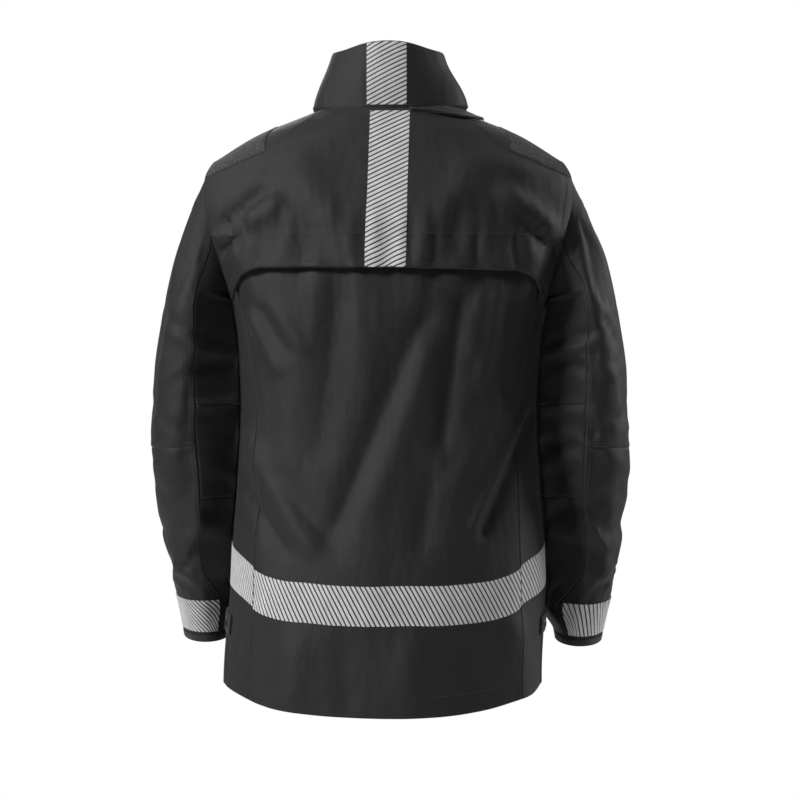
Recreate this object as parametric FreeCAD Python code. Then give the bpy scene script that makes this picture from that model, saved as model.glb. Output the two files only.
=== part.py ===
"""Waterproof turnout coat with a standing collar, a caped back yoke, two-piece sleeves and reflective tape.

The coat stands as it is worn, zipped up, with both sleeves hanging. Millimetres, +Z up, the front faces -Y and
the wearer's left is +X. The origin is where a hook bears on the hanger loop, at the middle of the back neck.

Every fabric piece is a thin sheet that follows one of three form surfaces: the body, the collar or a sleeve.
"""
import FreeCAD, Part
import math
import os

Vec = FreeCAD.Vector
KEEP_DIRECTION = 1       # ruled surfaces join the edges as they run

# ---- driving dimensions ----------------------------------------------------------------------------------
MID_Y = -58.0            # the side seams' plane, in front of the hanger loop
HEM_Z = -750.0           # hem at the sides and front
TAIL_DROP = 45.0         # how much lower the back hem hangs
TAIL_START_Z = -300.0    # the tail's curve fades out here
TAIL_ROUNDNESS = 1.1
NECK_DROP = 70.0         # how much lower the front of the neck seam is
NECK_DROP_END_Z = -250.0
FRONT_HEM_DEPTH = 146.0  # centre front, in front of MID_Y at the hem
FRONT_LEAN = 0.06        # the centre front zip leans back by this much per unit of height
ROUNDNESS = 2.3          # superellipse exponent of the body's sections
BODY_FORM = (            # height, half width, depth of the back
    (-750.0, 218.0, 150.0),
    (-640.0, 212.0, 148.0),
    (-580.0, 211.0, 144.0),
    (-489.0, 201.0, 134.0),
    (-400.0, 197.0, 128.0),
    (-315.0, 201.0, 130.0),
    (-258.0, 211.0, 132.0),
    (-200.0, 236.0, 130.0),
    (-165.0, 252.0, 127.0),
    (-130.0, 259.0, 118.0),
    (-95.0, 253.0, 106.0),
    (-66.0, 235.0, 97.0),
    (-55.0, 222.0, 94.0),
    (-28.0, 182.0, 86.0),
    (-16.0, 157.0, 81.0),
    (-4.0, 115.0, 74.0),
    (0.0, 94.0, 70.0),
)
ARMHOLE_MID_Z = -158.0
ARMHOLE_HALF = 92.0
ARMHOLE_BACK_ANGLE = 24.0
ARMHOLE_FRONT_ANGLE = 26.0
NECK_ROW = -0.5          # the panels' top edges, at the neck seam
SHOULDER_SEAM = (        # row where the back shoulder seam runs, its angle, and the row of the ridge beside it
    (-92.0, 16.5, -67.0),
    (-75.0, 33.0, -38.0),
    (-54.0, 43.0, -19.0),
    (-22.0, 42.0, -8.0),
    (NECK_ROW, 30.0, NECK_ROW),
)
FRONT_YOKE_SHARE = 0.6   # the front shoulder seam lies this much as far from the ridge as the back one
SIDE_BACK_SEAM = (       # row and angle of the seam between the back and the underarm panel
    (-750.0, 34.0),
    (-580.0, 35.0),
    (-400.0, 32.0),
    (-250.0, 24.0),
    (0.0, 24.0),
)
SIDE_FRONT_ANGLE = -16.0

COLLAR_BACK_HEIGHT = 88.0
COLLAR_SIDE_Z = 84.0
COLLAR_FRONT_Z = 26.0
COLLAR_TOP_HALF_WIDTH = 74.0
COLLAR_TOP_BACK_DEPTH = 62.0
COLLAR_BREAK_ANGLE = -51.0   # the collar's front ends swing open with the fronts
COLLAR_FRONT_ANGLE = -78.0
COLLAR_FOOT_RISE = 0.03      # the collar's pieces start just above the neck seam

SLEEVE_FORM = (          # height, centre x, centre y from MID_Y, half width, half depth
    (-262.0, 257.5, -1.0, 43.5, 74.0),
    (-340.0, 258.0, -3.0, 54.5, 68.0),
    (-425.0, 261.0, -8.0, 58.0, 63.0),
    (-565.0, 263.0, -30.0, 47.0, 56.0),
    (-705.0, 253.0, -62.0, 31.0, 47.0),
)
HEAD_END_Z = -262.0      # the sleeve head runs from the armhole to here
HEAD_BULGE = 10.0
HEAD_SEAM_BACKSET = 5.0  # the head stops this much of its height short of the armhole seam
CUFF_Z = -705.0
FOREARM_TILT = 0.2       # cuff rings dip towards the back, square to the forearm
ELBOW_PIVOT = (260.0, MID_Y - 8.0, -425.0)
SLEEVE_GAP_TOP_Z = -280.0
ELBOW_HALF = 62.0
ELBOW_TOP_Z, ELBOW_LOW_Z = ELBOW_PIVOT[2] + ELBOW_HALF, ELBOW_PIVOT[2] - ELBOW_HALF
FRONT_SEAM_TURN, BACK_SEAM_TURN = -62.0, 98.0
CUFF_BAND_HEIGHT = 9.0
CUFF_TAPE_RISE = 12.0        # the cuff's tape starts this far above its lower edge
CUFF_TAPE_SLANT = 14.0       # its back end runs on by this many degrees at the foot
TAB_SEWN_TURN, TAB_FREE_TURN = -66.0, -138.0
CUFF_TAB_LOW, CUFF_TAB_HIGH = 14.0, 40.0     # above the cuff's edge
CUFF_TAB_IN, CUFF_TAB_OUT = 2.2, 4.2

SHELL = 1.8              # fabric thickness of every shell panel
LINING_OUT, LINING_IN = -4.2, -5.2
TAPE_IN, TAPE_OUT = 1.0, 1.8
YOKE_IN, YOKE_OUT = 1.2, 2.8
OVER_YOKE_IN, OVER_YOKE_OUT = 3.8, 4.6
SEAM_GAP = 1.0           # clear width left between neighbouring panels
PIECE_GAP = 2.0          # the same between whole stretches of sleeve
GUSSET_TOP_GAP = 3.0     # the underarm panel stops this far below the armhole seam
SLEEVE_SEAM_GAP_TURN = 0.7
TAPE_WIDTH = 52.0

YOKE_HINGE_Z = -168.0
YOKE_EDGE_Z = -210.0
YOKE_WING_DROP = 42.0
WING_TIP_ANGLE, WING_SPAN_ANGLE = 20.0, 30.0
PATCH_INNER_ROW = -54.0
SHOULDER_FRONT_REACH = 0.95      # the shoulder pieces stop this share of the way to the front shoulder seam
VENT_MESH_LOW, VENT_MESH_HIGH = 20.0, 60.0   # rows of the mesh above the yoke's hinge
VENT_MESH_ANGLE = 34.0
VENT_MESH_IN, VENT_MESH_OUT = -1.0, -0.3
LINING_HEM_SET = 25.0            # the linings stop this far above the hem
BACK_LINING_ANGLE = 38.0
BACK_LINING_TOP_ROW, FRONT_LINING_TOP_ROW = -8.0, -60.0
FRONT_LINING_X = 26.0            # the front linings start beside the zip's tape
STOW_FLAP_ANGLES = (114.0, 146.0)
STOW_FLAP_ROWS = (-15.0, -4.0)
STOW_FLAP_IN, STOW_FLAP_OUT = 3.4, 5.4
WAIST_TAPE_TOP_Z = -591.0
PLACKET_HALF = 9.0       # half the gap between the front edges, where the zip shows
OPEN_EDGE_NECK_X, OPEN_EDGE_HEM_X = 62.0, 156.0   # outer edge of the part of each front that swings open

ZIP_BOTTOM_Z, ZIP_TOP_Z = -740.0, 18.0
COIL_IN_X, COIL_OUT_X = 1.4, 4.2
SLIDER_LENGTH = 15.0
SLIDER_Z = 4.0           # the slider's middle at rest
SLIDER_HALF_WIDTH = 6.4
ZIP_TAPE_OUT_X = 19.0
ZIP_BOX_LENGTH = 12.0
PULL_EYE_Z = 3.0         # the pull's pivot above the slider's middle
PULL_EYE_Y = -2.65
PULL_BAR = 1.4
PULL_LENGTH = 38.0
PULL_HALF_WIDTH = 4.5

POCKET_TOP, POCKET_FOOT = (66.0, -385.0), (104.0, -545.0)   # x and row of the slanted pocket opening's ends
POCKET_LIFT = 3.4        # the straight pocket zip stands this far off the curved front at its ends
POCKET_ZIP_THICK, POCKET_ZIP_HALF = 1.6, 5.5
POCKET_SLIDER_HALF = 4.0
POCKET_SLIDER_LOW, POCKET_SLIDER_HIGH = 2.0, 4.6    # above the pocket zip's foot
POCKET_SLIDER_SPAN = (0.02, 0.11)

ID_PANEL_X, ID_PANEL_ROW = 52.0, -205.0
ID_PANEL_WIDTH, ID_PANEL_HEIGHT, ID_PANEL_THICKNESS = 56.0, 34.0, 1.6
ID_PANEL_LIFT = 1.2
MIC_LOOP_SIZE = (48.0, 20.0, 3.6)
MIC_TUNNEL_SIZE = (32.0, 22.0, 3.0)

VENT_TAB_ROW = -668.0
VENT_TAB_HALF = 13.0
VENT_TAB_SEWN_ANGLE, VENT_TAB_FREE_ANGLE = -11.0, 15.0
VENT_TAB_IN, VENT_TAB_OUT = 1.6, 3.0
SNAP_RADIUS, SNAP_HEIGHT = 6.5, 2.2
SNAP_BACKSET_ANGLE = 4.0         # from the tab's free end to the snap's centre

LOOP_HALF, LOOP_THICK, LOOP_HEIGHT, LOOP_BOW = 34.0, 1.4, 8.0, 5.0


# ---- small maths -----------------------------------------------------------------------------------------
def smooth(t):
    t = min(1.0, max(0.0, t))
    return t * t * (3 - 2 * t)


def mix(a, b, t):
    return a + (b - a) * t


def signed_power(value, power):
    return math.copysign(abs(value) ** power, value)


def curve_through(rows, column, z):
    """Smooth value of one column of a form table at height z, with no overshoot between rows."""
    rows = sorted(rows)
    z = min(rows[-1][0], max(rows[0][0], z))
    slopes = [(b[column] - a[column]) / (b[0] - a[0]) for a, b in zip(rows, rows[1:])]

    def tangent(k):
        if k == 0 or k == len(rows) - 1:
            return slopes[0] if k == 0 else slopes[-1]
        before, after = slopes[k - 1], slopes[k]
        return 0.0 if before * after <= 0 else 2 * before * after / (before + after)

    k = max(i for i in range(len(rows) - 1) if rows[i][0] <= z)
    step = rows[k + 1][0] - rows[k][0]
    t = (z - rows[k][0]) / step
    p0, p1, m0, m1 = rows[k][column], rows[k + 1][column], tangent(k) * step, tangent(k + 1) * step
    return ((2 * t ** 3 - 3 * t ** 2 + 1) * p0 + (t ** 3 - 2 * t ** 2 + t) * m0
            + (3 * t ** 2 - 2 * t ** 3) * p1 + (t ** 3 - t ** 2) * m1)


# ---- the three form surfaces ------------------------------------------------------------------------------
def front_depth(z):
    """Depth of the centre front, which is a straight line so that the zip can run."""
    return FRONT_HEM_DEPTH - FRONT_LEAN * (z - HEM_Z)


def body(angle, row):
    """Point of the body at an angle from the left side (90 is the back), on the row of that side height."""
    c, s = math.cos(math.radians(angle)), math.sin(math.radians(angle))
    x = curve_through(BODY_FORM, 1, row) * signed_power(c, 2 / ROUNDNESS)
    neck = NECK_DROP * smooth((row - NECK_DROP_END_Z) / -NECK_DROP_END_Z)
    if s >= 0:
        tail = TAIL_DROP * smooth((TAIL_START_Z - row) / (TAIL_START_Z - HEM_Z))
        depth = curve_through(BODY_FORM, 2, row)
        return Vec(x, MID_Y + depth * s ** (2 / ROUNDNESS), row - tail * s ** TAIL_ROUNDNESS)
    depth = front_depth(row - neck)
    return Vec(x, MID_Y - depth * (-s) ** (2 / ROUNDNESS), row - neck * s * s)


def collar(angle, rise):
    """Point of the standing collar; rise goes from 0 at the neck seam to 1 at the top edge."""
    c, s = math.cos(math.radians(angle)), math.sin(math.radians(angle))
    base = body(angle, 0.0)
    centre_z = COLLAR_BACK_HEIGHT if s >= 0 else COLLAR_FRONT_Z
    top_z = COLLAR_SIDE_Z + (centre_z - COLLAR_SIDE_Z) * s * s
    depth = COLLAR_TOP_BACK_DEPTH if s >= 0 else front_depth(COLLAR_FRONT_Z)
    top = Vec(COLLAR_TOP_HALF_WIDTH * signed_power(c, 2 / ROUNDNESS),
              MID_Y + depth * signed_power(s, 2 / ROUNDNESS), top_z)
    return base + (top - base) * rise


def armhole(turn):
    """Point of the left armhole seam; turn is 0 at the shoulder, 90 at the back and 180 at the armpit."""
    c, s = math.cos(math.radians(turn)), math.sin(math.radians(turn))
    half_angle = ARMHOLE_BACK_ANGLE if s >= 0 else ARMHOLE_FRONT_ANGLE
    return body(half_angle * s, ARMHOLE_MID_Z + ARMHOLE_HALF * c)


def armhole_angle(row, front=False):
    """How far round the body the armhole reaches at a row, and 0 above and below it."""
    share = 1 - ((row - ARMHOLE_MID_Z) / ARMHOLE_HALF) ** 2
    return (ARMHOLE_FRONT_ANGLE if front else ARMHOLE_BACK_ANGLE) * math.sqrt(max(0.0, share))


def sleeve(turn, z):
    """Point of the left sleeve: turn 0 faces outwards, 90 backwards; z is the ring's height at its centre."""
    c, s = math.cos(math.radians(turn)), math.sin(math.radians(turn))
    x, y, half_width, half_depth = (curve_through(SLEEVE_FORM, k, min(z, HEAD_END_Z)) for k in (1, 2, 3, 4))
    tilt = FOREARM_TILT * smooth((ELBOW_PIVOT[2] - z) / (ELBOW_PIVOT[2] - CUFF_Z))
    ring = Vec(x + half_width * c, MID_Y + y + half_depth * s, min(z, HEAD_END_Z) - tilt * half_depth * s)
    if z <= HEAD_END_Z:
        return ring
    t = (z - HEAD_END_Z) / (armhole(0).z - HEAD_END_Z)   # 0 at the ring, 1 at the armhole
    seam = armhole(turn)
    bulge = HEAD_BULGE * math.sin(math.pi * t) * max(0.0, c)
    return ring + (seam - ring) * t + Vec(bulge, 0, 0)


# ---- sheets -----------------------------------------------------------------------------------------------
def normal_at(surface, a, b, da=0.5, db=0.5):
    """Unit normal of a form surface, by small steps."""
    across = surface(a + da, b) - surface(a - da, b)
    along = surface(a, b + db) - surface(a, b - db)
    return across.cross(along).normalize()


def grid_face(rows):
    patch = Part.BSplineSurface()
    patch.interpolate(rows)
    return patch.toShape()


def solid_between(low, high):
    """Closed solid between two grids of points with the same layout."""
    bottom, top = grid_face(low), grid_face(high)
    sides = [Part.makeRuledSurface(a, b, KEEP_DIRECTION) for a, b in zip(bottom.Edges, top.Edges)]
    shell = Part.makeShell([bottom, top] + sides)
    shell.sewShape()
    solid = Part.makeSolid(Part.Shell(shell.Faces))
    if solid.Volume < 0:
        solid.reverse()
    return solid


def sheet(surface, place, inner, outer, across=9, along=9, step_b=0.5):
    """Solid sheet on a form surface. place(u, v) gives the surface's two parameters, u and v from 0 to 1."""
    low, high = [], []
    for i in range(across + 1):
        low_row, high_row = [], []
        for j in range(along + 1):
            a, b = place(i / across, j / along)
            point, out = surface(a, b), normal_at(surface, a, b, db=step_b)
            low_row.append(point + out * inner)
            high_row.append(point + out * outer)
        low.append(low_row)
        high.append(high_row)
    return solid_between(low, high)


def mirrored(shape):
    return shape.mirror(Vec(0, 0, 0), Vec(1, 0, 0))


def box_at(x0, x1, y0, y1, z0, z1):
    return Part.makeBox(x1 - x0, y1 - y0, z1 - z0, Vec(x0, y0, z0))


def gap_angle(row, width=SEAM_GAP):
    """Angle that is about half of width long at a row of the body, near its side."""
    return math.degrees(width / 2 / curve_through(BODY_FORM, 2, row))


# ---- body panels ------------------------------------------------------------------------------------------
def body_rows(low_row, high_row, start, end):
    """Place function for a panel whose side edges are angles that depend on the row."""
    def place(u, v):
        row = mix(low_row, high_row, v)
        return mix(start(row), end(row), u), row
    return place


def body_rows_to_neck(low_row, high_row, start, end):
    """The same, with the rows crowded towards the neck, where the shoulders slope fast."""
    place = body_rows(low_row, high_row, start, end)
    return lambda u, v: place(u, 1 - (1 - v) ** 2)


def body_columns(start, end, low, high):
    """Place function for a panel whose top and bottom edges are rows that depend on the angle."""
    def place(u, v):
        angle = mix(start, end, u)
        return angle, mix(low(angle), high(angle), v)
    return place


def back_edge(row):
    """Left side edge of the back: the side-back seam, then the armhole."""
    return max(curve_through(SIDE_BACK_SEAM, 1, row), armhole_angle(row)) + gap_angle(row)


def back_panel():
    place = body_rows(HEM_Z, YOKE_HINGE_Z + 18, back_edge, lambda row: 180 - back_edge(row))
    return sheet(body, place, -SHELL, 0, across=16, along=14)


def yoke_vent_mesh():
    """Mesh behind the yoke, which lets air out under its free edge."""
    place = body_rows(YOKE_HINGE_Z + VENT_MESH_LOW, YOKE_HINGE_Z + VENT_MESH_HIGH,
                      lambda row: VENT_MESH_ANGLE, lambda row: 180 - VENT_MESH_ANGLE)
    return sheet(body, place, VENT_MESH_IN, VENT_MESH_OUT, across=12, along=4)


def shoulder_seam(row):
    """Angle of the back shoulder seam at a row, and 0 below its foot at the armhole."""
    return curve_through(SHOULDER_SEAM, 1, row) if row > SHOULDER_SEAM[0][0] else 0.0


def yoke_side(row):
    """Left side edge of the yoke: the armhole, then the shoulder seam."""
    return max(shoulder_seam(row), armhole_angle(row)) + 2 * gap_angle(row)


def back_yoke():
    place = body_rows_to_neck(YOKE_HINGE_Z, NECK_ROW, yoke_side, lambda row: 180 - yoke_side(row))
    return sheet(body, place, YOKE_IN, YOKE_OUT, across=16, along=18, step_b=0.2)


def yoke_edge_row(angle):
    """The yoke's free edge: straight across the back, dropping to a wing at each armhole."""
    from_side = min(angle, 180 - angle)
    return YOKE_EDGE_Z - YOKE_WING_DROP * (1 - smooth((from_side - WING_TIP_ANGLE) / WING_SPAN_ANGLE))


def yoke_flap():
    def place(u, v):
        side = mix(WING_TIP_ANGLE, ARMHOLE_BACK_ANGLE + 1, v)
        angle = mix(side, 180 - side, u)
        return angle, mix(yoke_edge_row(angle), YOKE_HINGE_Z - 1, v)
    return sheet(body, place, YOKE_IN, YOKE_OUT, across=20, along=4)


def body_at_x(x, row):
    """Angle on the left front where a row of the body reaches x."""
    ratio = (x / curve_through(BODY_FORM, 1, row)) ** (ROUNDNESS / 2)
    return -math.degrees(math.acos(ratio))


def placket_angle(row):
    return body_at_x(PLACKET_HALF, row)


def open_edge_angle(row):
    """Angle of the outer edge of the part of the left front that swings open."""
    return body_at_x(mix(OPEN_EDGE_NECK_X, OPEN_EDGE_HEM_X, row / HEM_Z), row)


def front_panel():
    place = body_rows_to_neck(HEM_Z, NECK_ROW, placket_angle, lambda row: open_edge_angle(row) - 0.4)
    return sheet(body, place, -SHELL, 0, across=6, along=20, step_b=0.2)


def front_side(row):
    """Edge where the left front meets the side seam, the armhole and the shoulder seam."""
    seam = max(armhole_angle(row, front=True), FRONT_YOKE_SHARE * shoulder_seam(row))
    if row < ARMHOLE_MID_Z:
        seam = max(seam, -SIDE_FRONT_ANGLE)
    return -seam - 2 * gap_angle(row)


def side_panel():
    """The rest of the left front, up to the armhole and the shoulder seam."""
    place = body_rows_to_neck(HEM_Z, NECK_ROW, lambda row: open_edge_angle(row) + 0.4, front_side)
    return sheet(body, place, -SHELL, 0, across=10, along=24, step_b=0.2)


def side_gusset():
    """Panel under the arm, between the side-back and side-front seams, with the armhole's lower arc on top."""
    def place(u, v):
        top_angle = mix(SIDE_FRONT_ANGLE, ARMHOLE_BACK_ANGLE - 0.2, u)
        share = top_angle / (ARMHOLE_BACK_ANGLE if top_angle > 0 else ARMHOLE_FRONT_ANGLE)
        top = ARMHOLE_MID_Z - ARMHOLE_HALF * math.sqrt(1 - share * share) - GUSSET_TOP_GAP
        row = mix(HEM_Z, top, v)
        return mix(SIDE_FRONT_ANGLE, curve_through(SIDE_BACK_SEAM, 1, row) - gap_angle(row), u), row
    return sheet(body, place, -SHELL, 0, across=8, along=16)


def shoulder_piece(low_row, high_row):
    """Panel over the shoulder ridge; the rows are those of its back seam."""
    def place(u, v):
        seam_row = mix(low_row, high_row, v)
        back = curve_through(SHOULDER_SEAM, 1, seam_row)
        ridge_row = curve_through(SHOULDER_SEAM, 2, seam_row)
        reach = mix(-SHOULDER_FRONT_REACH, 1, u)
        angle = back * reach * (1.0 if reach > 0 else FRONT_YOKE_SHARE)
        return angle, mix(ridge_row, seam_row, reach * reach)
    return sheet(body, place, -SHELL, 0, across=10, along=6, step_b=0.2)


def shoulder_patch():
    return shoulder_piece(SHOULDER_SEAM[0][0] + SEAM_GAP, PATCH_INNER_ROW - SEAM_GAP)


def shoulder_panel():
    return shoulder_piece(PATCH_INNER_ROW + SEAM_GAP, SHOULDER_SEAM[-1][0])


def waist_tape(start, end, across):
    """Band of reflective tape round the waist, parallel to the hem."""
    place = body_columns(start, end,
                         lambda angle: WAIST_TAPE_TOP_Z - TAPE_WIDTH, lambda angle: WAIST_TAPE_TOP_Z)
    return sheet(body, place, TAPE_IN, TAPE_OUT, across=across, along=3)


def waist_tape_back():
    start = open_edge_angle(WAIST_TAPE_TOP_Z) + 1
    return waist_tape(start, 180 - start, 30)


def waist_tape_front():
    return waist_tape(placket_angle(WAIST_TAPE_TOP_Z) + 1, open_edge_angle(WAIST_TAPE_TOP_Z) - 2, 5)


def centre_tape(low_row, high_row, inner, outer, along):
    """Upright strip of tape down the middle of the back."""
    def half_angle(row):
        ratio = (TAPE_WIDTH / 2 / curve_through(BODY_FORM, 1, row)) ** (ROUNDNESS / 2)
        return 90 - math.degrees(math.acos(ratio))
    place = body_rows(low_row, high_row, lambda row: 90 - half_angle(row), lambda row: 90 + half_angle(row))
    return sheet(body, place, inner, outer, across=4, along=along)


def yoke_tape():
    return centre_tape(YOKE_HINGE_Z + 0.5, -4.0, OVER_YOKE_IN, OVER_YOKE_OUT, 8)


def flap_tape():
    return centre_tape(YOKE_EDGE_Z + 2, YOKE_HINGE_Z - 1.5, OVER_YOKE_IN, OVER_YOKE_OUT, 3)


def back_lining():
    def edge(row):
        return max(BACK_LINING_ANGLE, armhole_angle(row) + 4, shoulder_seam(row) + 2)
    place = body_rows_to_neck(HEM_Z + LINING_HEM_SET, BACK_LINING_TOP_ROW, edge, lambda row: 180 - edge(row))
    return sheet(body, place, LINING_IN, LINING_OUT, across=14, along=20, step_b=0.2)


def front_lining():
    place = body_rows(HEM_Z + LINING_HEM_SET, FRONT_LINING_TOP_ROW,
                      lambda row: body_at_x(FRONT_LINING_X, row), lambda row: open_edge_angle(row) - 2)
    return sheet(body, place, LINING_IN, LINING_OUT, across=5, along=12)


# ---- collar -----------------------------------------------------------------------------------------------
def collar_span(start, end, low, high, inner, outer, across, along=4):
    def place(u, v):
        return mix(start, end, u), mix(low, high, v)
    return sheet(collar, place, inner, outer, across=across, along=along, step_b=0.02)


def collar_back():
    start = COLLAR_BREAK_ANGLE + 1
    return collar_span(start, 180 - start, COLLAR_FOOT_RISE, 1, -SHELL, 0, 24)


def collar_lining():
    return collar_span(0, 180, 0.16, 0.97, LINING_IN, LINING_OUT + 0.8, 16)


def collar_end():
    return collar_span(COLLAR_FRONT_ANGLE, COLLAR_BREAK_ANGLE, COLLAR_FOOT_RISE, 1, -SHELL, 0, 6)


def collar_tape():
    half = 90 - math.degrees(math.acos((TAPE_WIDTH / 2 / BODY_FORM[-1][1]) ** (ROUNDNESS / 2)))
    return collar_span(90 - half, 90 + half, 0.06, 0.985, TAPE_IN, TAPE_OUT, 4)


def hood_stow_flap():
    """Folded band below the neck seam that covers the end of the hood pocket's zip, on the right."""
    start, end = STOW_FLAP_ANGLES
    place = body_rows(*STOW_FLAP_ROWS, lambda row: start, lambda row: end)
    return sheet(body, place, STOW_FLAP_IN, STOW_FLAP_OUT, across=6, along=3, step_b=0.2)


# ---- sleeves ----------------------------------------------------------------------------------------------
def sleeve_sheet(start, end, low, high, inner=-SHELL, outer=0.0, across=8, along=8):
    def place(u, v):
        return mix(start, end, u), mix(low, high, v)
    return sheet(sleeve, place, inner, outer, across=across, along=along)


def sleeve_pair(low, high, along):
    """The outer and under panels of one stretch of sleeve, as two solids."""
    gap = SLEEVE_SEAM_GAP_TURN
    upper = sleeve_sheet(FRONT_SEAM_TURN + gap, BACK_SEAM_TURN - gap, low, high, along=along)
    under = sleeve_sheet(BACK_SEAM_TURN + gap, 360 + FRONT_SEAM_TURN - gap, low, high, across=10, along=along)
    return upper, under


def sleeve_head():
    return Part.makeCompound(sleeve_pair(SLEEVE_GAP_TOP_Z + PIECE_GAP / 2, armhole(0).z - HEAD_SEAM_BACKSET, 8))


def upper_sleeve():
    return Part.makeCompound(sleeve_pair(ELBOW_TOP_Z + PIECE_GAP / 2, SLEEVE_GAP_TOP_Z - PIECE_GAP / 2, 5))


def forearm_sleeve():
    return Part.makeCompound(sleeve_pair(CUFF_Z + CUFF_BAND_HEIGHT + SEAM_GAP, ELBOW_LOW_Z - PIECE_GAP / 2, 6))


def sleeve_elbow():
    return Part.makeCompound(sleeve_pair(ELBOW_LOW_Z + PIECE_GAP / 2, ELBOW_TOP_Z - PIECE_GAP / 2, 4))


def cuff_band():
    """Bound edge of the cuff."""
    return sleeve_sheet(1, 359, CUFF_Z, CUFF_Z + CUFF_BAND_HEIGHT,
                        inner=-SHELL - 0.6, outer=0.8, across=20, along=2)


def cuff_tape():
    def place(u, v):
        end = BACK_SEAM_TURN - 2 + CUFF_TAPE_SLANT * (1 - v)
        return mix(FRONT_SEAM_TURN + 12, end, u), CUFF_Z + CUFF_TAPE_RISE + TAPE_WIDTH * v
    return sheet(sleeve, place, TAPE_IN, TAPE_OUT, across=8, along=4)


def cuff_tab():
    """Tab that tightens the cuff, sewn by its front end."""
    return sleeve_sheet(TAB_FREE_TURN, TAB_SEWN_TURN, CUFF_Z + CUFF_TAB_LOW, CUFF_Z + CUFF_TAB_HIGH,
                        inner=CUFF_TAB_IN, outer=CUFF_TAB_OUT, across=6, along=2)


# ---- zip --------------------------------------------------------------------------------------------------
def on_zip_line(shape):
    """Moves a shape built upright, facing -Y with z as height, onto the leaning centre front line."""
    lean = math.degrees(math.atan(FRONT_LEAN))
    moved = shape.copy()
    moved.rotate(Vec(0, 0, 0), Vec(1, 0, 0), -lean)
    moved.translate(Vec(0, MID_Y - front_depth(0.0), 0))
    return moved


def zip_length(z):
    """Distance along the leaning line for a height."""
    return z * math.sqrt(1 + FRONT_LEAN ** 2)


def zip_half():
    """Left half of the front zip: its woven tape and its row of coil."""
    low, high = zip_length(ZIP_BOTTOM_Z), zip_length(ZIP_TOP_Z)
    tape = box_at(COIL_IN_X, ZIP_TAPE_OUT_X, 3.2, 3.8, low, high)
    coil = box_at(COIL_IN_X, COIL_OUT_X, 0.6, 3.0, low + ZIP_BOX_LENGTH + 2, high - 2)
    return Part.makeCompound([on_zip_line(tape), on_zip_line(coil)])


def zip_box():
    """Retainer box at the zip's foot, on the right half, with the left half's pin socket."""
    low = zip_length(ZIP_BOTTOM_Z)
    block = box_at(-5.5, 0.9, 0.2, 2.9, low, low + ZIP_BOX_LENGTH)
    return on_zip_line(block)


def zip_slider():
    """Slider: front and back plates on a central bridge, side flanges, and a bail for the pull."""
    mid = zip_length(SLIDER_Z)
    low, high = mid - SLIDER_LENGTH / 2, mid + SLIDER_LENGTH / 2
    half = SLIDER_HALF_WIDTH
    front = box_at(-half, half, -1.4, 0.2, low, high)
    rear = box_at(-half, half, 4.6, 5.8, low, high)
    bridge = box_at(-1.1, 1.1, 0.2, 4.6, high - 5, high)
    flanges = [box_at(x, x + 1.2, 0.2, 2.6, low, high) for x in (-half, half - 1.2)]
    bail = box_at(-1.6, 1.6, -5.2, -1.4, mid - 6, mid + 6).cut(box_at(-2, 2, -3.9, -1.4, mid - 3, mid + 4.2))
    slider = front.fuse([rear, bridge, bail] + flanges).removeSplitter()
    return on_zip_line(slider)


def zip_pull():
    """Pull tab with an eye bar through the slider's bail, hanging down in front of the slider."""
    eye = zip_length(SLIDER_Z) + PULL_EYE_Z
    near, far = PULL_EYE_Y - PULL_BAR / 2, PULL_EYE_Y + PULL_BAR / 2
    plate = box_at(-PULL_HALF_WIDTH, PULL_HALF_WIDTH, near, far, eye - PULL_LENGTH, eye + PULL_BAR / 2)
    eye_hole = box_at(-2.2, 2.2, near - 1, far + 1, eye - 12, eye - PULL_BAR / 2)
    tip_hole = Part.makeCylinder(2.0, 4, Vec(0, near - 1, eye - PULL_LENGTH + 5), Vec(0, 1, 0))
    return on_zip_line(plate.cut(eye_hole).cut(tip_hole))


# ---- pockets, tabs, snaps, loops ---------------------------------------------------------------------------
def pocket_frame():
    """Ends of the pocket opening on the body, and the outward normal at its middle."""
    ends = [body(body_at_x(x, row), row) for x, row in (POCKET_TOP, POCKET_FOOT)]
    x, row = [(a + b) / 2 for a, b in zip(POCKET_TOP, POCKET_FOOT)]
    return ends[0], ends[1], normal_at(body, body_at_x(x, row), row)


def along_pocket(offset_low, offset_high, half_width, start=0.0, end=1.0):
    """Box along the pocket opening, between two heights above the fabric."""
    top, foot, out = pocket_frame()
    line = foot - top
    down = Vec(line).normalize()
    out = (out - down * out.dot(down)).normalize()
    across = down.cross(out)
    corner = top + line * start - across * half_width + out * offset_low
    placed = Part.makeBox(2 * half_width, offset_high - offset_low, line.Length * (end - start))
    frame = FreeCAD.Matrix(across.x, out.x, down.x, corner.x,
                           across.y, out.y, down.y, corner.y,
                           across.z, out.z, down.z, corner.z,
                           0, 0, 0, 1)
    placed.transformShape(frame)
    return placed


def pocket_zip():
    """Welted zip of the hand pocket."""
    return along_pocket(POCKET_LIFT, POCKET_LIFT + POCKET_ZIP_THICK, POCKET_ZIP_HALF)


def pocket_slider():
    start, end = POCKET_SLIDER_SPAN
    return along_pocket(POCKET_LIFT + POCKET_SLIDER_LOW, POCKET_LIFT + POCKET_SLIDER_HIGH, POCKET_SLIDER_HALF,
                        start=start, end=end)


def id_panel_frame():
    """Centre of the name panel's back face, its outward normal, and its across and up directions."""
    angle = body_at_x(ID_PANEL_X, ID_PANEL_ROW)
    out = normal_at(body, angle, ID_PANEL_ROW)
    up = (Vec(0, 0, 1) - out * out.z).normalize()
    return body(angle, ID_PANEL_ROW) + out * ID_PANEL_LIFT, out, up.cross(out), up


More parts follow.
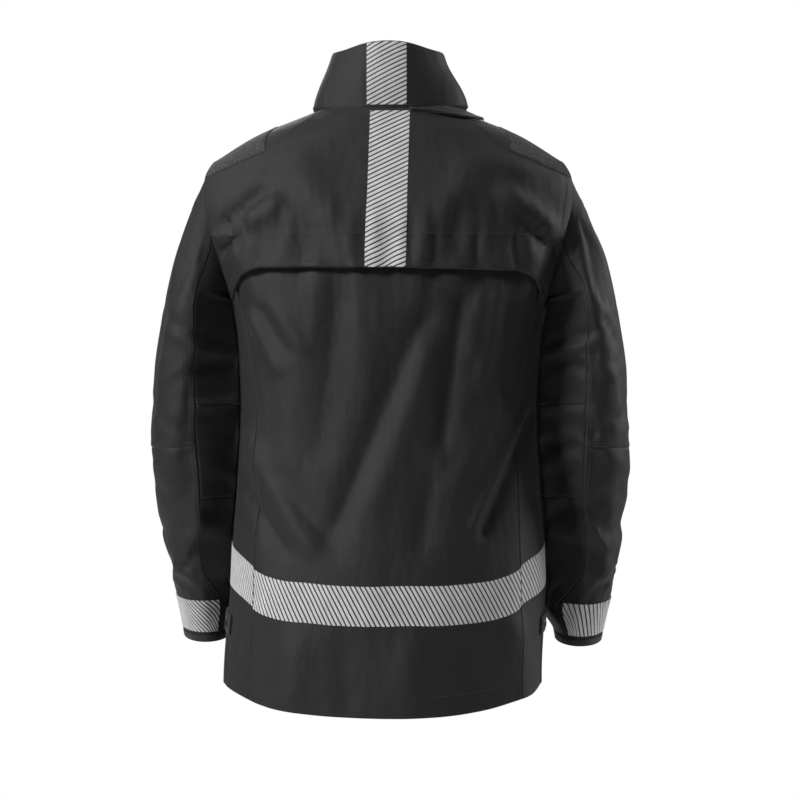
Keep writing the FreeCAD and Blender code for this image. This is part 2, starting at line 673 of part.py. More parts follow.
def plate_on(frame, width, height, thickness):
    centre, out, across, up = frame
    corner = centre - across * (width / 2) - up * (height / 2)
    plate = Part.makeBox(width, thickness, height)
    plate.transformShape(FreeCAD.Matrix(across.x, out.x, up.x, corner.x,
                                        across.y, out.y, up.y, corner.y,
                                        across.z, out.z, up.z, corner.z,
                                        0, 0, 0, 1))
    return plate


def id_panel():
    """Flat loop panel on the left chest that takes a name strip."""
    return plate_on(id_panel_frame(), ID_PANEL_WIDTH, ID_PANEL_HEIGHT, ID_PANEL_THICKNESS)


def mic_loop():
    """Webbing loop on the right chest that holds a radio microphone's clip."""
    centre, out, across, up = id_panel_frame()
    strap = plate_on((centre, out, across, up), *MIC_LOOP_SIZE)
    tunnel = plate_on((centre - out, out, across, up), *MIC_TUNNEL_SIZE)
    return mirrored(strap.cut(tunnel))


def vent_tab():
    """Tab across the side vent, sewn in front of it, with a snap cap on its free end behind it."""
    place = body_columns(VENT_TAB_SEWN_ANGLE, VENT_TAB_FREE_ANGLE,
                         lambda angle: VENT_TAB_ROW - VENT_TAB_HALF, lambda angle: VENT_TAB_ROW + VENT_TAB_HALF)
    strap = sheet(body, place, VENT_TAB_IN, VENT_TAB_OUT, across=5, along=3)
    angle = VENT_TAB_FREE_ANGLE - SNAP_BACKSET_ANGLE
    out = normal_at(body, angle, VENT_TAB_ROW)
    seat = body(angle, VENT_TAB_ROW) + out * (VENT_TAB_OUT + 0.4)
    cap = Part.makeCylinder(SNAP_RADIUS, SNAP_HEIGHT, seat, out)
    return Part.makeCompound([strap, cap])


def hanger_loop():
    """Webbing strap across the back neck, bowed forward so that a hook passes behind it."""
    rear = Part.Arc(Vec(-LOOP_HALF, LOOP_BOW, 0), Vec(0, 0, 0), Vec(LOOP_HALF, LOOP_BOW, 0)).toShape()
    front = Part.Arc(Vec(-LOOP_HALF, LOOP_BOW - LOOP_THICK, 0), Vec(0, -LOOP_THICK, 0),
                     Vec(LOOP_HALF, LOOP_BOW - LOOP_THICK, 0)).toShape()
    ends = [Part.makeLine(Vec(x, LOOP_BOW, 0), Vec(x, LOOP_BOW - LOOP_THICK, 0))
            for x in (LOOP_HALF, -LOOP_HALF)]
    face = Part.Face(Part.Wire(Part.__sortEdges__([rear, front] + ends)))
    return face.extrude(Vec(0, 0, LOOP_HEIGHT))


# ---- the whole coat ----------------------------------------------------------------------------------------
def build():
    """Name and shape of every node. Pieces in pairs are built on the left and mirrored to the right."""
    nodes = {
        "back_panel": back_panel(),
        "yoke_vent_mesh": yoke_vent_mesh(),
        "back_yoke": back_yoke(),
        "yoke_flap": yoke_flap(),
        "yoke_tape": yoke_tape(),
        "flap_tape": flap_tape(),
        "waist_tape_back": waist_tape_back(),
        "back_lining": back_lining(),
        "collar_back": collar_back(),
        "collar_lining": collar_lining(),
        "collar_tape": collar_tape(),
        "hood_stow_flap": hood_stow_flap(),
        "hanger_loop": hanger_loop(),
        "zip_box": zip_box(),
        "zip_slider": zip_slider(),
        "zip_pull": zip_pull(),
        "id_panel": id_panel(),
        "mic_loop": mic_loop(),
    }
    pairs = {
        "front_panel": front_panel(),
        "side_panel": side_panel(),
        "side_gusset": side_gusset(),
        "shoulder_panel": shoulder_panel(),
        "shoulder_patch": shoulder_patch(),
        "front_lining": front_lining(),
        "waist_tape_front": waist_tape_front(),
        "collar_end": collar_end(),
        "zip_half": zip_half(),
        "pocket_zip": pocket_zip(),
        "pocket_slider": pocket_slider(),
        "vent_tab": vent_tab(),
        "sleeve_head": sleeve_head(),
        "upper_sleeve": upper_sleeve(),
        "sleeve_elbow": sleeve_elbow(),
        "forearm_sleeve": forearm_sleeve(),
        "cuff_band": cuff_band(),
        "cuff_tape": cuff_tape(),
        "cuff_tab": cuff_tab(),
    }
    for name, shape in pairs.items():
        nodes[name + "_left"] = shape
        nodes[name + "_right"] = mirrored(shape)
    return nodes


if __name__ == "__main__":
    os.makedirs("parts", exist_ok=True)
    for name, shape in build().items():
        shape.exportStep(f"parts/{name}.step")
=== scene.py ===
"""Visual model of a black waterproof turnout coat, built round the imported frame.

Form surfaces in millimetres describe the body, the collar and the two sleeves. Cloth simulation moves the
body and the sleeves, and panels, tape and stitches are then laid on the surfaces. Meshes are in metres.
"""
import bpy
import math
import numpy as np
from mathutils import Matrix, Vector


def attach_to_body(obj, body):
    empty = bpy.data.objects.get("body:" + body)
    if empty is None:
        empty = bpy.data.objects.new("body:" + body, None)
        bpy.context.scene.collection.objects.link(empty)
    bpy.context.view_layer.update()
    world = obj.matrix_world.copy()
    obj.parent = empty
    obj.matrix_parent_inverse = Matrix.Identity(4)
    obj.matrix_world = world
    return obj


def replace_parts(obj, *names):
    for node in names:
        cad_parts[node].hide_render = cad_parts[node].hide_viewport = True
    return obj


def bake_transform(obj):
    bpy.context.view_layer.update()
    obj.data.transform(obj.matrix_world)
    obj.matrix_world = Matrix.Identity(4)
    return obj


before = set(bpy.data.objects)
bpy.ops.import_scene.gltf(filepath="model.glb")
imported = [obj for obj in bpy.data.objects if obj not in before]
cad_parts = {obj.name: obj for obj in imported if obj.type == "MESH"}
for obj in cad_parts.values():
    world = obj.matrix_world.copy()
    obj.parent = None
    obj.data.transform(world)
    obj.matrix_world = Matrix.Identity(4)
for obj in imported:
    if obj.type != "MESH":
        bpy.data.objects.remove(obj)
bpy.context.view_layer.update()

MM = 0.001

# ---- driving dimensions (mm) ------------------------------------------------------------------------------
MID_Y = -58.0
HEM_Z = -750.0
TAIL_DROP, TAIL_START_Z, TAIL_ROUNDNESS = 42.0, -300.0, 1.0
HEM_SWING, HEM_SWING_START_Z = 8.0, -600.0     # the hem hangs a little towards the left
NECK_DROP, NECK_DROP_END_Z = 70.0, -250.0
FRONT_HEM_DEPTH, FRONT_LEAN = 146.0, 0.06
ROUNDNESS = 2.3
BODY_FORM = (            # height, half width, depth of the back
    (-750.0, 211.0, 143.0),
    (-640.0, 210.0, 148.0),
    (-580.0, 208.0, 144.0),
    (-489.0, 201.0, 134.0),
    (-400.0, 197.0, 128.0),
    (-315.0, 201.0, 130.0),
    (-258.0, 211.0, 132.0),
    (-200.0, 236.0, 130.0),
    (-165.0, 252.0, 127.0),
    (-130.0, 259.0, 118.0),
    (-95.0, 253.0, 106.0),
    (-70.0, 235.0, 97.0),
    (-61.0, 222.0, 94.0),
    (-36.0, 182.0, 86.0),
    (-24.0, 157.0, 81.0),
    (-8.0, 117.0, 74.0),
    (0.0, 97.0, 70.0),
)
ARMHOLE_MID_Z, ARMHOLE_HALF = -158.0, 92.0
ARMHOLE_BACK_ANGLE, ARMHOLE_FRONT_ANGLE = 24.0, 26.0
NECK_ROW = -0.5
SHOULDER_SEAM = (        # row of the back shoulder seam, its angle, and the row of the ridge beside it
    (-92.0, 16.5, -67.0),
    (-75.0, 33.0, -38.0),
    (-54.0, 43.0, -19.0),
    (-22.0, 42.0, -8.0),
    (NECK_ROW, 30.0, NECK_ROW),
)
FRONT_YOKE_SHARE = 0.6
SIDE_BACK_SEAM = (       # row and angle of the seam between the back and the underarm panel
    (-750.0, 34.0),
    (-580.0, 35.0),
    (-400.0, 32.0),
    (-250.0, 24.0),
    (0.0, 24.0),
)
SIDE_FRONT_ANGLE = -16.0
COLLAR_BACK_HEIGHT, COLLAR_SIDE_Z, COLLAR_FRONT_Z = 90.0, 78.0, 26.0
COLLAR_TOP_HALF_WIDTH, COLLAR_TOP_BACK_DEPTH = 74.0, 62.0
SLEEVE_FORM = (          # height, centre x, centre y from MID_Y, half width, half depth
    (-262.0, 257.5, -1.0, 43.5, 74.0),
    (-340.0, 258.0, -3.0, 54.5, 68.0),
    (-425.0, 261.0, -8.0, 58.0, 63.0),
    (-565.0, 263.0, -30.0, 47.0, 56.0),
    (-705.0, 253.0, -62.0, 31.0, 47.0),
)
HEAD_END_Z, HEAD_BULGE, CUFF_Z, FOREARM_TILT = -262.0, 10.0, -705.0, 0.2
ELBOW_Z, ELBOW_HALF = -425.0, 62.0
SLEEVE_SPLIT_Z = -325.0
FRONT_SEAM_TURN, BACK_SEAM_TURN = -62.0, 98.0
SHELL_THICK = 1.6
SLEEVE_CLEARANCE, PRESS_REACH, PRESS_HOLLOW = 0.8, 30.0, 1.1
SLEEVE_HANG = {          # how far out each worn sleeve hangs from its form, at heights from the cuff up
    "left": ((-705.0, -7.0), (-640.0, -9.0), (-565.0, -6.0), (-425.0, 1.5), (-340.0, 3.5), (-262.0, 3.0)),
    "right": ((-705.0, 5.0), (-640.0, 5.0), (-565.0, 5.5), (-425.0, 6.0), (-340.0, 10.0), (-262.0, 10.0)),
}
CUFF_RISE = {"left": 6.0, "right": 0.0}
TAPE_WIDTH = 52.0
YOKE_HINGE_Z, YOKE_EDGE_Z, YOKE_WING_DROP = -168.0, -210.0, 42.0
WING_TIP_ANGLE, WING_SPAN_ANGLE, WING_HOLLOW = 17.0, 31.0, 1.45
PATCH_INNER_ROW = -54.0
WAIST_TAPE_TOP_Z = -591.0
PLACKET_HALF = 9.0
OPEN_EDGE_NECK_X, OPEN_EDGE_HEM_X = 62.0, 156.0
FRONT_AXIS_NECK_X, FRONT_AXIS_HEM_X = 78.0, 180.0
ZIP_BOTTOM_Z, ZIP_TOP_Z = -740.0, 18.0
ROW_CROWD, FOLD_SCALE = 1.45, 1.2
SEAM_GAP, YOKE_LIFT, PATCH_LIFT = 0.25, 2.0, 0.9
LINING_THICK, LINING_RISE = 0.8, 8.0
COLLAR_FRONT_ANGLE, COLLAR_THICK = -83.0, 3.8
STOW_ANGLES = (103.0, 152.0)
OUTER_ELBOW_SEAMS, UNDER_ELBOW_SEAMS = (-446.0,), (-391.0, -513.0)
CORD_SIDES, CORD_RADIUS = 8, 1.5
CUFF_TAB_TURNS = (222.0, 294.0)
FILM_THICK, FILM_LIFT, FILM_ROWS, LEAST_SEGMENT = 0.35, 0.25, 21, 0.5
YOKE_TAPE_CENTRE, COLLAR_TAPE_CENTRE = (-2.6, 4.2), 2.0     # x of the tape at the neck and at the flap's edge
WAIST_STEP = 2.5         # the tape's side and front lengths sit this much higher than the back
WAIST_STRETCH = 0.13
WAIST_RISE, WAIST_RISE_ANGLE = 21.0, 55.0    # how much the tape climbs towards the sides
CUFF_TAPE_WIDTH = 43.0
CUFF_STRIPES = {"left": (-0.9, 0.6), "right": (0.25, 0.69)}     # slant and silver share of the stripes
COIL_PITCH = 2.1
ZIP_TAPE_PROFILE = (     # distance out from the middle of the zip, and depth
    (1.4, 3.0), (4.6, 3.0), (5.2, 3.4), (12.0, 3.4), (19.0, 3.4),
)
POCKET_TOP, POCKET_FOOT = (66.0, -385.0), (104.0, -545.0)
SNAP_PROFILE = ((1.0, -0.3), (1.02, 0.35), (0.9, 0.62), (0.7, 0.6), (0.55, 0.85), (0.25, 1.0))
VENT_TAB_ROW, VENT_SEWN, VENT_FREE = -668.0, -11.0, 15.0
ID_X, ID_ROW, ID_WIDE, ID_TALL = 52.0, -205.0, 56.0, 34.0
HEM_STITCH_ROW = HEM_Z + 26
STITCH_PITCH, STITCH_LENGTH, STITCH_WIDE, STITCH_TALL = 3.4, 2.5, 0.62, 0.42
EDGE_STEPS = (0.0, 0.6, 1.5, 3.0, 5.5, 9.0, 11.0)
MARK_STEPS, MARK_REACH, LEAST_STEP = (-4, -2, -0.9, 0, 0.9, 2, 4), 5.5, 0.3
FREE_EDGES = (None,) * 4
SHARP_ANGLE = 50.0
SIDES = (("left", 1), ("right", -1))

# ---- cloth and stage settings -----------------------------------------------------------------------------
CLOTH_SETTINGS = dict(
    quality=5, mass=0.35, tension_stiffness=18, compression_stiffness=14, shear_stiffness=6,
    tension_damping=12, compression_damping=12, shear_damping=8, bending_damping=2, air_damping=2,
    pin_stiffness=1.0,
)
FLOOR_Z, BACKDROP_FILL = -1.42, 0.09     # metres, and strength of the backdrop as a light
SOFTBOXES = (            # name, place and size in metres, power
    ("softbox_left", (3.0, 1.9, 1.9), 1.1, 148),
    ("softbox_right", (-2.9, -0.9, 0.7), 1.2, 45),
    ("softbox_top", (0.3, 0.5, 2.8), 1.4, 14),
    ("softbox_front", (0.6, -3.2, 1.4), 2.2, 50),
)
VIEW_WIDTH = 1.04        # metres across the picture, at the plane of the back
CAMERA_DISTANCE, BACK_PLANE, VIEW_CENTRE = 4.0, 0.066, (-0.0156, -0.385)


# ---- small maths ------------------------------------------------------------------------------------------
def smooth(t):
    t = np.clip(t, 0.0, 1.0)
    return t * t * (3 - 2 * t)


def mix(a, b, t):
    return a + (b - a) * t


def signed_power(value, power):
    return np.sign(value) * np.abs(value) ** power


def column_curve(table, column):
    """Smooth function of height through one column of a form table, with no overshoot between rows."""
    rows = np.array(sorted(table))
    heights, values = rows[:, 0], rows[:, column]
    slopes = np.diff(values) / np.diff(heights)
    tangents = np.concatenate([slopes[:1], np.zeros(len(rows) - 2), slopes[-1:]])
    product = slopes[:-1] * slopes[1:]
    turning = product > 0
    tangents[1:-1][turning] = (2 * product / np.where(turning, slopes[:-1] + slopes[1:], 1))[turning]

    def value_at(height):
        height = np.clip(height, heights[0], heights[-1])
        k = np.clip(np.searchsorted(heights, height, side="right") - 1, 0, len(rows) - 2)
        step = heights[k + 1] - heights[k]
        t = (height - heights[k]) / step
        return ((2 * t ** 3 - 3 * t ** 2 + 1) * values[k] + (t ** 3 - 2 * t ** 2 + t) * tangents[k] * step
                + (3 * t ** 2 - 2 * t ** 3) * values[k + 1] + (t ** 3 - t ** 2) * tangents[k + 1] * step)
    return value_at


half_width = column_curve(BODY_FORM, 1)
back_depth = column_curve(BODY_FORM, 2)
seam_angle = column_curve(SHOULDER_SEAM, 1)
seam_ridge = column_curve(SHOULDER_SEAM, 2)
side_back_angle = column_curve(SIDE_BACK_SEAM, 1)
sleeve_curves = [column_curve(SLEEVE_FORM, k) for k in (1, 2, 3, 4)]


# ---- base forms -------------------------------------------------------------------------------------------
def off_side(angle):
    """Angle away from the nearer side of the coat, up to 90 at the middle of the back or front."""
    return np.abs((np.asarray(angle, float) + 90) % 180 - 90)


def front_depth(z):
    return FRONT_HEM_DEPTH - FRONT_LEAN * (z - HEM_Z)


def hem_swing(row, s):
    lowness = smooth((HEM_SWING_START_Z - row) / (HEM_SWING_START_Z - HEM_Z))
    return HEM_SWING * lowness * smooth((s + 0.6) / 0.6)


def body_base(angle, row):
    """Body at an angle round from the left side (90 is the back) on the row of that side height."""
    angle, row = np.broadcast_arrays(np.asarray(angle, float), np.asarray(row, float))
    c, s = np.cos(np.radians(angle)), np.sin(np.radians(angle))
    neck = NECK_DROP * smooth((row - NECK_DROP_END_Z) / -NECK_DROP_END_Z)
    tail = TAIL_DROP * smooth((TAIL_START_Z - row) / (TAIL_START_Z - HEM_Z))
    z = np.where(s >= 0, row - tail * np.abs(s) ** TAIL_ROUNDNESS, row - neck * s * s)
    depth = np.where(s >= 0, back_depth(row), front_depth(row - neck))
    x = half_width(row) * signed_power(c, 2 / ROUNDNESS) + hem_swing(row, s)
    return np.stack([x, MID_Y + depth * signed_power(s, 2 / ROUNDNESS), z], -1)


def collar_base(angle, rise):
    """Standing collar; rise goes from 0 at the neck seam to 1 at the top edge."""
    angle, rise = np.broadcast_arrays(np.asarray(angle, float), np.asarray(rise, float))
    c, s = np.cos(np.radians(angle)), np.sin(np.radians(angle))
    foot = body_base(angle, 0.0)
    end_z = np.where(s >= 0, COLLAR_BACK_HEIGHT, COLLAR_FRONT_Z)
    depth = np.where(s >= 0, COLLAR_TOP_BACK_DEPTH, front_depth(COLLAR_FRONT_Z))
    top = np.stack([COLLAR_TOP_HALF_WIDTH * signed_power(c, 2 / ROUNDNESS),
                    MID_Y + depth * signed_power(s, 2 / ROUNDNESS),
                    COLLAR_SIDE_Z + (end_z - COLLAR_SIDE_Z) * np.where(s >= 0, s ** 4, s ** 2)], -1)
    return foot + (top - foot) * rise[..., None]


def armhole(turn):
    """Left armhole seam; turn is 0 at the shoulder, 90 at the back and 180 at the armpit."""
    c, s = np.cos(np.radians(turn)), np.sin(np.radians(turn))
    reach = np.where(s >= 0, ARMHOLE_BACK_ANGLE, ARMHOLE_FRONT_ANGLE)
    return body_base(reach * s, ARMHOLE_MID_Z + ARMHOLE_HALF * c)


ARMHOLE_TOP_Z = float(armhole(0.0)[2])


def armhole_angle(row, front=False):
    share = 1 - ((np.asarray(row, float) - ARMHOLE_MID_Z) / ARMHOLE_HALF) ** 2
    return (ARMHOLE_FRONT_ANGLE if front else ARMHOLE_BACK_ANGLE) * np.sqrt(np.maximum(0.0, share))


def sleeve_base(turn, z):
    """Left sleeve: turn 0 faces outwards and 90 backwards; z is the ring's height at its centre."""
    turn, z = np.broadcast_arrays(np.asarray(turn, float), np.asarray(z, float))
    c, s = np.cos(np.radians(turn)), np.sin(np.radians(turn))
    low = np.minimum(z, HEAD_END_Z)
    x, y, wide, deep = (curve(low) for curve in sleeve_curves)
    tilt = FOREARM_TILT * smooth((ELBOW_Z - low) / (ELBOW_Z - CUFF_Z))
    ring = np.stack([x + wide * c, MID_Y + y + deep * s, low - tilt * deep * s], -1)
    t = np.maximum(0.0, (z - HEAD_END_Z) / (ARMHOLE_TOP_Z - HEAD_END_Z))
    bulge = HEAD_BULGE * np.sin(np.pi * np.clip(t, 0, 1)) * np.maximum(0.0, c)
    moved = ring + (armhole(turn) - ring) * t[..., None]
    moved[..., 0] += bulge
    return moved


# ---- displaced surfaces -----------------------------------------------------------------------------------
def unit(vectors):
    return vectors / np.maximum(np.linalg.norm(vectors, axis=-1, keepdims=True), 1e-9)


def cubic_weights(t):
    return (-0.5 * t + t ** 2 - 0.5 * t ** 3, 1 - 2.5 * t ** 2 + 1.5 * t ** 3,
            0.5 * t + 2 * t ** 2 - 1.5 * t ** 3, -0.5 * t ** 2 + 0.5 * t ** 3)


class Surface:
    """A form surface with an optional simulated offset grid and a crease height."""

    def __init__(self, base, period, low, high, crease=None, mirror=False, step_b=1.5):
        self.base, self.period, self.low, self.high = base, period, low, high
        self.crease, self.mirror, self.step_b, self.grid = crease, mirror, step_b, None

    def raw(self, a, b):
        points = self.base(a, b)
        return points * np.array([-1.0, 1, 1]) if self.mirror else points

    def row_index(self, b, count):
        """Grid rows are crowded towards the high end."""
        share = np.clip((np.asarray(b, float) - self.low) / (self.high - self.low), 0, 1)
        return (1 - (1 - share) ** (1 / ROW_CROWD)) * (count - 1)

    def row_values(self, count):
        v = np.linspace(0, 1, count)
        return self.low + (self.high - self.low) * (1 - (1 - v) ** ROW_CROWD)

    def offset(self, a, b):
        if self.grid is None:
            return np.zeros(3)
        columns, rows = self.grid.shape[:2]
        i = (np.asarray(a, float) / self.period * columns) % columns
        j = self.row_index(b, rows)
        i, j = np.broadcast_arrays(i, j)
        i0, j0 = np.floor(i).astype(int), np.minimum(np.floor(j).astype(int), rows - 2)
        wi, wj = cubic_weights(i - i0), cubic_weights(j - j0)
        total = 0.0
        for m in range(4):
            for n in range(4):
                value = self.grid[(i0 + m - 1) % columns, np.clip(j0 + n - 1, 0, rows - 1)]
                total = total + value * (wi[m] * wj[n])[..., None]
        return total

    def smooth_point(self, a, b):
        return self.raw(a, b) + self.offset(a, b)

    def normal_of(self, point, a, b, da=0.6):
        across = point(a + da, b) - point(a - da, b)
        along = point(a, b + self.step_b) - point(a, b - self.step_b)
        return unit(np.cross(across, along)) * (-1 if self.mirror else 1)

    def point(self, a, b):
        found = self.smooth_point(a, b)
        if self.crease is None:
            return found
        return found + self.normal_of(self.smooth_point, a, b) * self.crease(a, b, found)[..., None]

    def lifted(self, a, b, lift):
        """Points that stand a height above the cloth."""
        a, b = np.broadcast_arrays(np.asarray(a, float), np.asarray(b, float))
        return self.point(a, b) + self.normal_of(self.point, a, b) * np.broadcast_to(lift, a.shape)[..., None]


def ridge(x, z, start, end, width, height):
    """Soft fold along a line from start to end, fading at its ends."""
    dx, dz = end[0] - start[0], end[1] - start[1]
    length = math.hypot(dx, dz)
    along = ((x - start[0]) * dx + (z - start[1]) * dz) / length
    across = ((x - start[0]) * dz - (z - start[1]) * dx) / length
    fade = smooth((along + width) / (2.5 * width)) * smooth((length + width - along) / (2.5 * width))
    return height * np.exp(-np.abs(across / width) ** (2.0 if height > 0 else 1.5)) * fade


BACK_FOLDS = (           # start x, z, end x, z, width, height of each fold in the back
    ((224, -160), (160, -106), 9, -8.0),
    ((214, -176), (138, -122), 10, 6.5),
    ((228, -196), (180, -152), 8, -8.0),
    ((-222, -170), (-146, -108), 13, 6.5),
    ((-230, -196), (-168, -140), 10, -6.0),
    ((-196, -90), (-120, -70), 15, 3.5),
    ((-118, -60), (-70, -150), 22, 4.5),
    ((-96, -124), (-84, -206), 13, -3.5),
    ((128, -60), (76, -150), 22, 4.0),
    ((104, -128), (96, -206), 12, -3.5),
    ((58, -150), (54, -208), 10, 2.5),
    ((-50, -150), (-48, -208), 10, 2.5),
    ((184, -268), (140, -352), 8, 4.0),
    ((172, -262), (124, -330), 7, -3.0),
    ((160, -252), (104, -326), 9, 3.0),
    ((120, -230), (134, -500), 26, 4.5),
    ((62, -232), (92, -470), 20, -3.0),
    ((-52, -262), (74, -566), 17, -7.0),
    ((-62, -300), (26, -530), 23, 3.6),
    ((-97, -240), (-70, -452), 14, -6.5),
    ((-122, -236), (-108, -330), 9, 3.5),
    ((-145, -232), (-119, -372), 10, 4.0),
    ((-160, -250), (-150, -400), 11, -4.5),
    ((-188, -384), (-108, -556), 5, 4.0),
    ((-198, -392), (-122, -566), 9, -6.0),
    ((-150, -372), (-88, -500), 14, 3.5),
    ((-60, -470), (-40, -590), 18, -3.5),
    ((198, -424), (96, -584), 15, 5.5),
    ((200, -486), (128, -592), 11, -5.0),
    ((160, -470), (60, -590), 16, -3.5),
    ((158, -680), (166, -800), 18, -4.0),
    ((122, -690), (130, -800), 22, 5.0),
    ((58, -690), (52, -800), 24, -4.0),
    ((-30, -690), (-24, -800), 26, 4.5),
    ((-104, -690), (-112, -800), 24, -4.0),
    ((-166, -670), (-182, -800), 18, 6.0),
)
FRONT_FOLDS = (
    ((214, -120), (150, -250), 14, 5.5),
    ((205, -190), (170, -320), 12, -5.0),
    ((140, -260), (128, -560), 24, 4.5),
    ((178, -360), (168, -700), 17, -5.0),
    ((60, -180), (56, -340), 26, -3.5),
    ((92, -600), (104, -750), 22, 4.0),
)


def body_crease(angle, row, point):
    x, z = point[..., 0], point[..., 2]
    behind = smooth((point[..., 1] - MID_Y + 10) / 45)
    total = np.zeros_like(x)
    for start, end, width, height in BACK_FOLDS:
        total = total + FOLD_SCALE * behind * ridge(x, z, start, end, width, height)
    total = total * (1 - 0.8 * smooth((44 - np.abs(x)) / 14) * smooth((z + 232) / 24))
    ahead = smooth((MID_Y - 20 - point[..., 1]) / 45)
    for start, end, width, height in FRONT_FOLDS:
        for side in (1, -1):
            tall = height * (1 + 0.25 * side)
            total = total + ahead * ridge(x * side, z + 12 * side, start, end, width, tall)
    gathers = np.sin(x / 4.3 + 2.2 * np.sin(x / 19)) * (0.35 + 0.65 * np.sin(x / 37 + 1.2) ** 2)
    gathers = gathers * (0.35 + 0.65 * smooth((10 - x) / 60)) * smooth((np.abs(x) - 30) / 14)
    total = total + 1.3 * behind * gathers * np.exp(-((z - YOKE_HINGE_Z + 22) / 17) ** 2)
    at_neck = smooth((row + 8) / 8)
    beside_sleeve = smooth((24 - off_side(angle)) / 10) * smooth((row + 640) / 60)
    return total * (1 - at_neck) * (1 - beside_sleeve) * smooth((armhole_reach(angle, row) - 1) / 0.25)


def armhole_reach(angle, row, margin=0.0):
    """1 on the armhole seam, less inside it and more outside."""
    wide = np.where(np.sin(np.radians(angle)) >= 0, ARMHOLE_BACK_ANGLE, ARMHOLE_FRONT_ANGLE)
    up = (row - ARMHOLE_MID_Z) / (ARMHOLE_HALF + margin)
    return (off_side(angle) / (wide + margin / 3)) ** 2 + up ** 2


def sleeve_crease_for(phase, outer_share):
    """Crumples of a worn sleeve: slanted folds, with only a share of their height on its outer side."""
    folds = (            # height, turn, slope in mm per degree, width in height and in turn, depth
        (-282, 60, -0.45, 9, 50, -5.0),
        (-302, 74, -0.50, 9, 50, 5.5),
        (-338, 110, 0.40, 11, 50, -6.0),
        (-352, 60, 0.45, 9, 40, 5.0),
        (-384, 130, 0.34, 10, 60, 6.5),
        (-404, 40, -0.50, 10, 45, -5.5),
        (-430, 130, 0.26, 9, 60, -6.5),
        (-452, 70, 0.42, 10, 55, 6.0),
        (-486, 140, -0.30, 11, 60, 5.0),
        (-512, 60, -0.40, 12, 50, -5.0),
        (-548, 110, 0.36, 12, 60, 4.5),
        (-590, 60, 0.34, 12, 60, -4.5),
        (-622, 100, -0.34, 11, 60, 4.0),
        (-420, 270, 0.28, 10, 60, -6.0),
        (-450, 260, -0.26, 10, 60, 6.0),
        (-395, 285, -0.26, 10, 55, 5.0),
        (-520, 280, 0.28, 13, 50, 4.0),
    )

    def crease(turn, z, point):
        total = np.zeros_like(point[..., 0])
        for height, centre, slope, tall, wide, depth in folds:
            off = (turn - centre + 180 - 17 * phase) % 360 - 180
            line = z - height - 9 * phase * math.sin(height * 0.05) - slope * off
            total = total + depth * np.exp(-(line / tall) ** 2 - (off / wide) ** 2)
        calm = smooth((z - CUFF_Z - 10) / 60) * smooth((ARMHOLE_TOP_Z - 8 - z) / 60)
        beside_body = smooth((-0.55 - np.cos(np.radians(turn))) / 0.3)
        outer = smooth((0.35 + np.cos(np.radians(turn))) / 0.5)
        return total * calm * (1 - beside_body) * mix(1.0, outer_share, outer)
    return crease


def collar_crease(angle, rise, point):
    """The collar bellies slightly and flares at its foot, most on the right where the hood is stowed."""
    foot = smooth((rise + 0.03) / 0.06)
    stow = 12.0 * np.exp(-((angle - 166) / 38) ** 2) * smooth((0.85 - rise) / 0.75) * foot
    stow = stow + 5.0 * np.exp(-((angle - 6) / 30) ** 2) * smooth((0.8 - rise) / 0.7) * foot
    belly = np.sin(np.pi * np.clip(rise, 0, 1)) * 1.6
    beside_tape = 1 - np.exp(-((angle - 90) / 34) ** 2)
    ripple = 1.1 * np.sin(np.radians(angle * 5 + 20)) * smooth(rise * 1.6) * beside_tape
    return stow + belly + ripple


def body_wall_x(y, z, side):
    """How far out the settled body reaches on one side, at a depth and a height."""
    deep = np.where(y >= MID_Y, back_depth(z), front_depth(z))
    share = np.clip(np.abs(y - MID_Y) / deep, 0, 1)
    angle = np.degrees(np.arcsin(share ** (ROUNDNESS / 2))) * np.where(y >= MID_Y, 1, -1)
    moved = torso.offset(angle if side > 0 else 180 - angle, z)
    width = half_width(z) * (1 - share ** ROUNDNESS) ** (1 / ROUNDNESS)
    return width + side * (moved[..., 0] + hem_swing(z, np.sin(np.radians(angle))))


def sleeve_form_for(name, side):
    heights, outs = np.array(SLEEVE_HANG[name]).T

    def form(turn, z):
        """The worn sleeve, its inner side lying against the body."""
        points = sleeve_base(turn, z)
        y, height = points[..., 1], points[..., 2]
        x = points[..., 0] + np.interp(z, heights, outs) * (1 - smooth((np.asarray(z, float) + 200) / 105))
        facing = smooth((-0.1 - np.cos(np.radians(turn))) / 0.5)
        stretch = smooth((-240 - height) / 14) * smooth((height + 705) / 50)
        gap = x - body_wall_x(y, height, side) - SLEEVE_CLEARANCE
        press = facing * stretch * np.where(gap > 0, PRESS_REACH * np.tanh(gap / PRESS_REACH), gap)
        points[..., 0] = x - press
        points[..., 1] = y - PRESS_HOLLOW * np.maximum(press, 0) * np.maximum(0, np.sin(np.radians(turn)))
        points[..., 2] = height + CUFF_RISE[name] * smooth((-565 - height) / 120)
        return points
    return form


torso = Surface(body_base, 360.0, HEM_Z, 0.0, body_crease)
collar_form = Surface(collar_base, 360.0, 0.0, 1.0, collar_crease, step_b=0.02)
arms = {
    "left": Surface(sleeve_form_for("left", 1), 360.0, CUFF_Z, ARMHOLE_TOP_Z, sleeve_crease_for(0.0, 0.4)),
    "right": Surface(sleeve_form_for("right", -1), 360.0, CUFF_Z, ARMHOLE_TOP_Z, sleeve_crease_for(1.0, 0.7),
                     mirror=True),
}


# ---- cloth simulation -------------------------------------------------------------------------------------
def grid_faces(columns, rows, wrap):
    i = np.arange(columns if wrap else columns - 1)
    j = np.arange(rows - 1)
    i, j = np.meshgrid(i, j, indexing="ij")
    after = (i + 1) % columns
    quads = np.stack([i * rows + j, after * rows + j, after * rows + j + 1, i * rows + j + 1], -1)
    return quads.reshape(-1, 4)


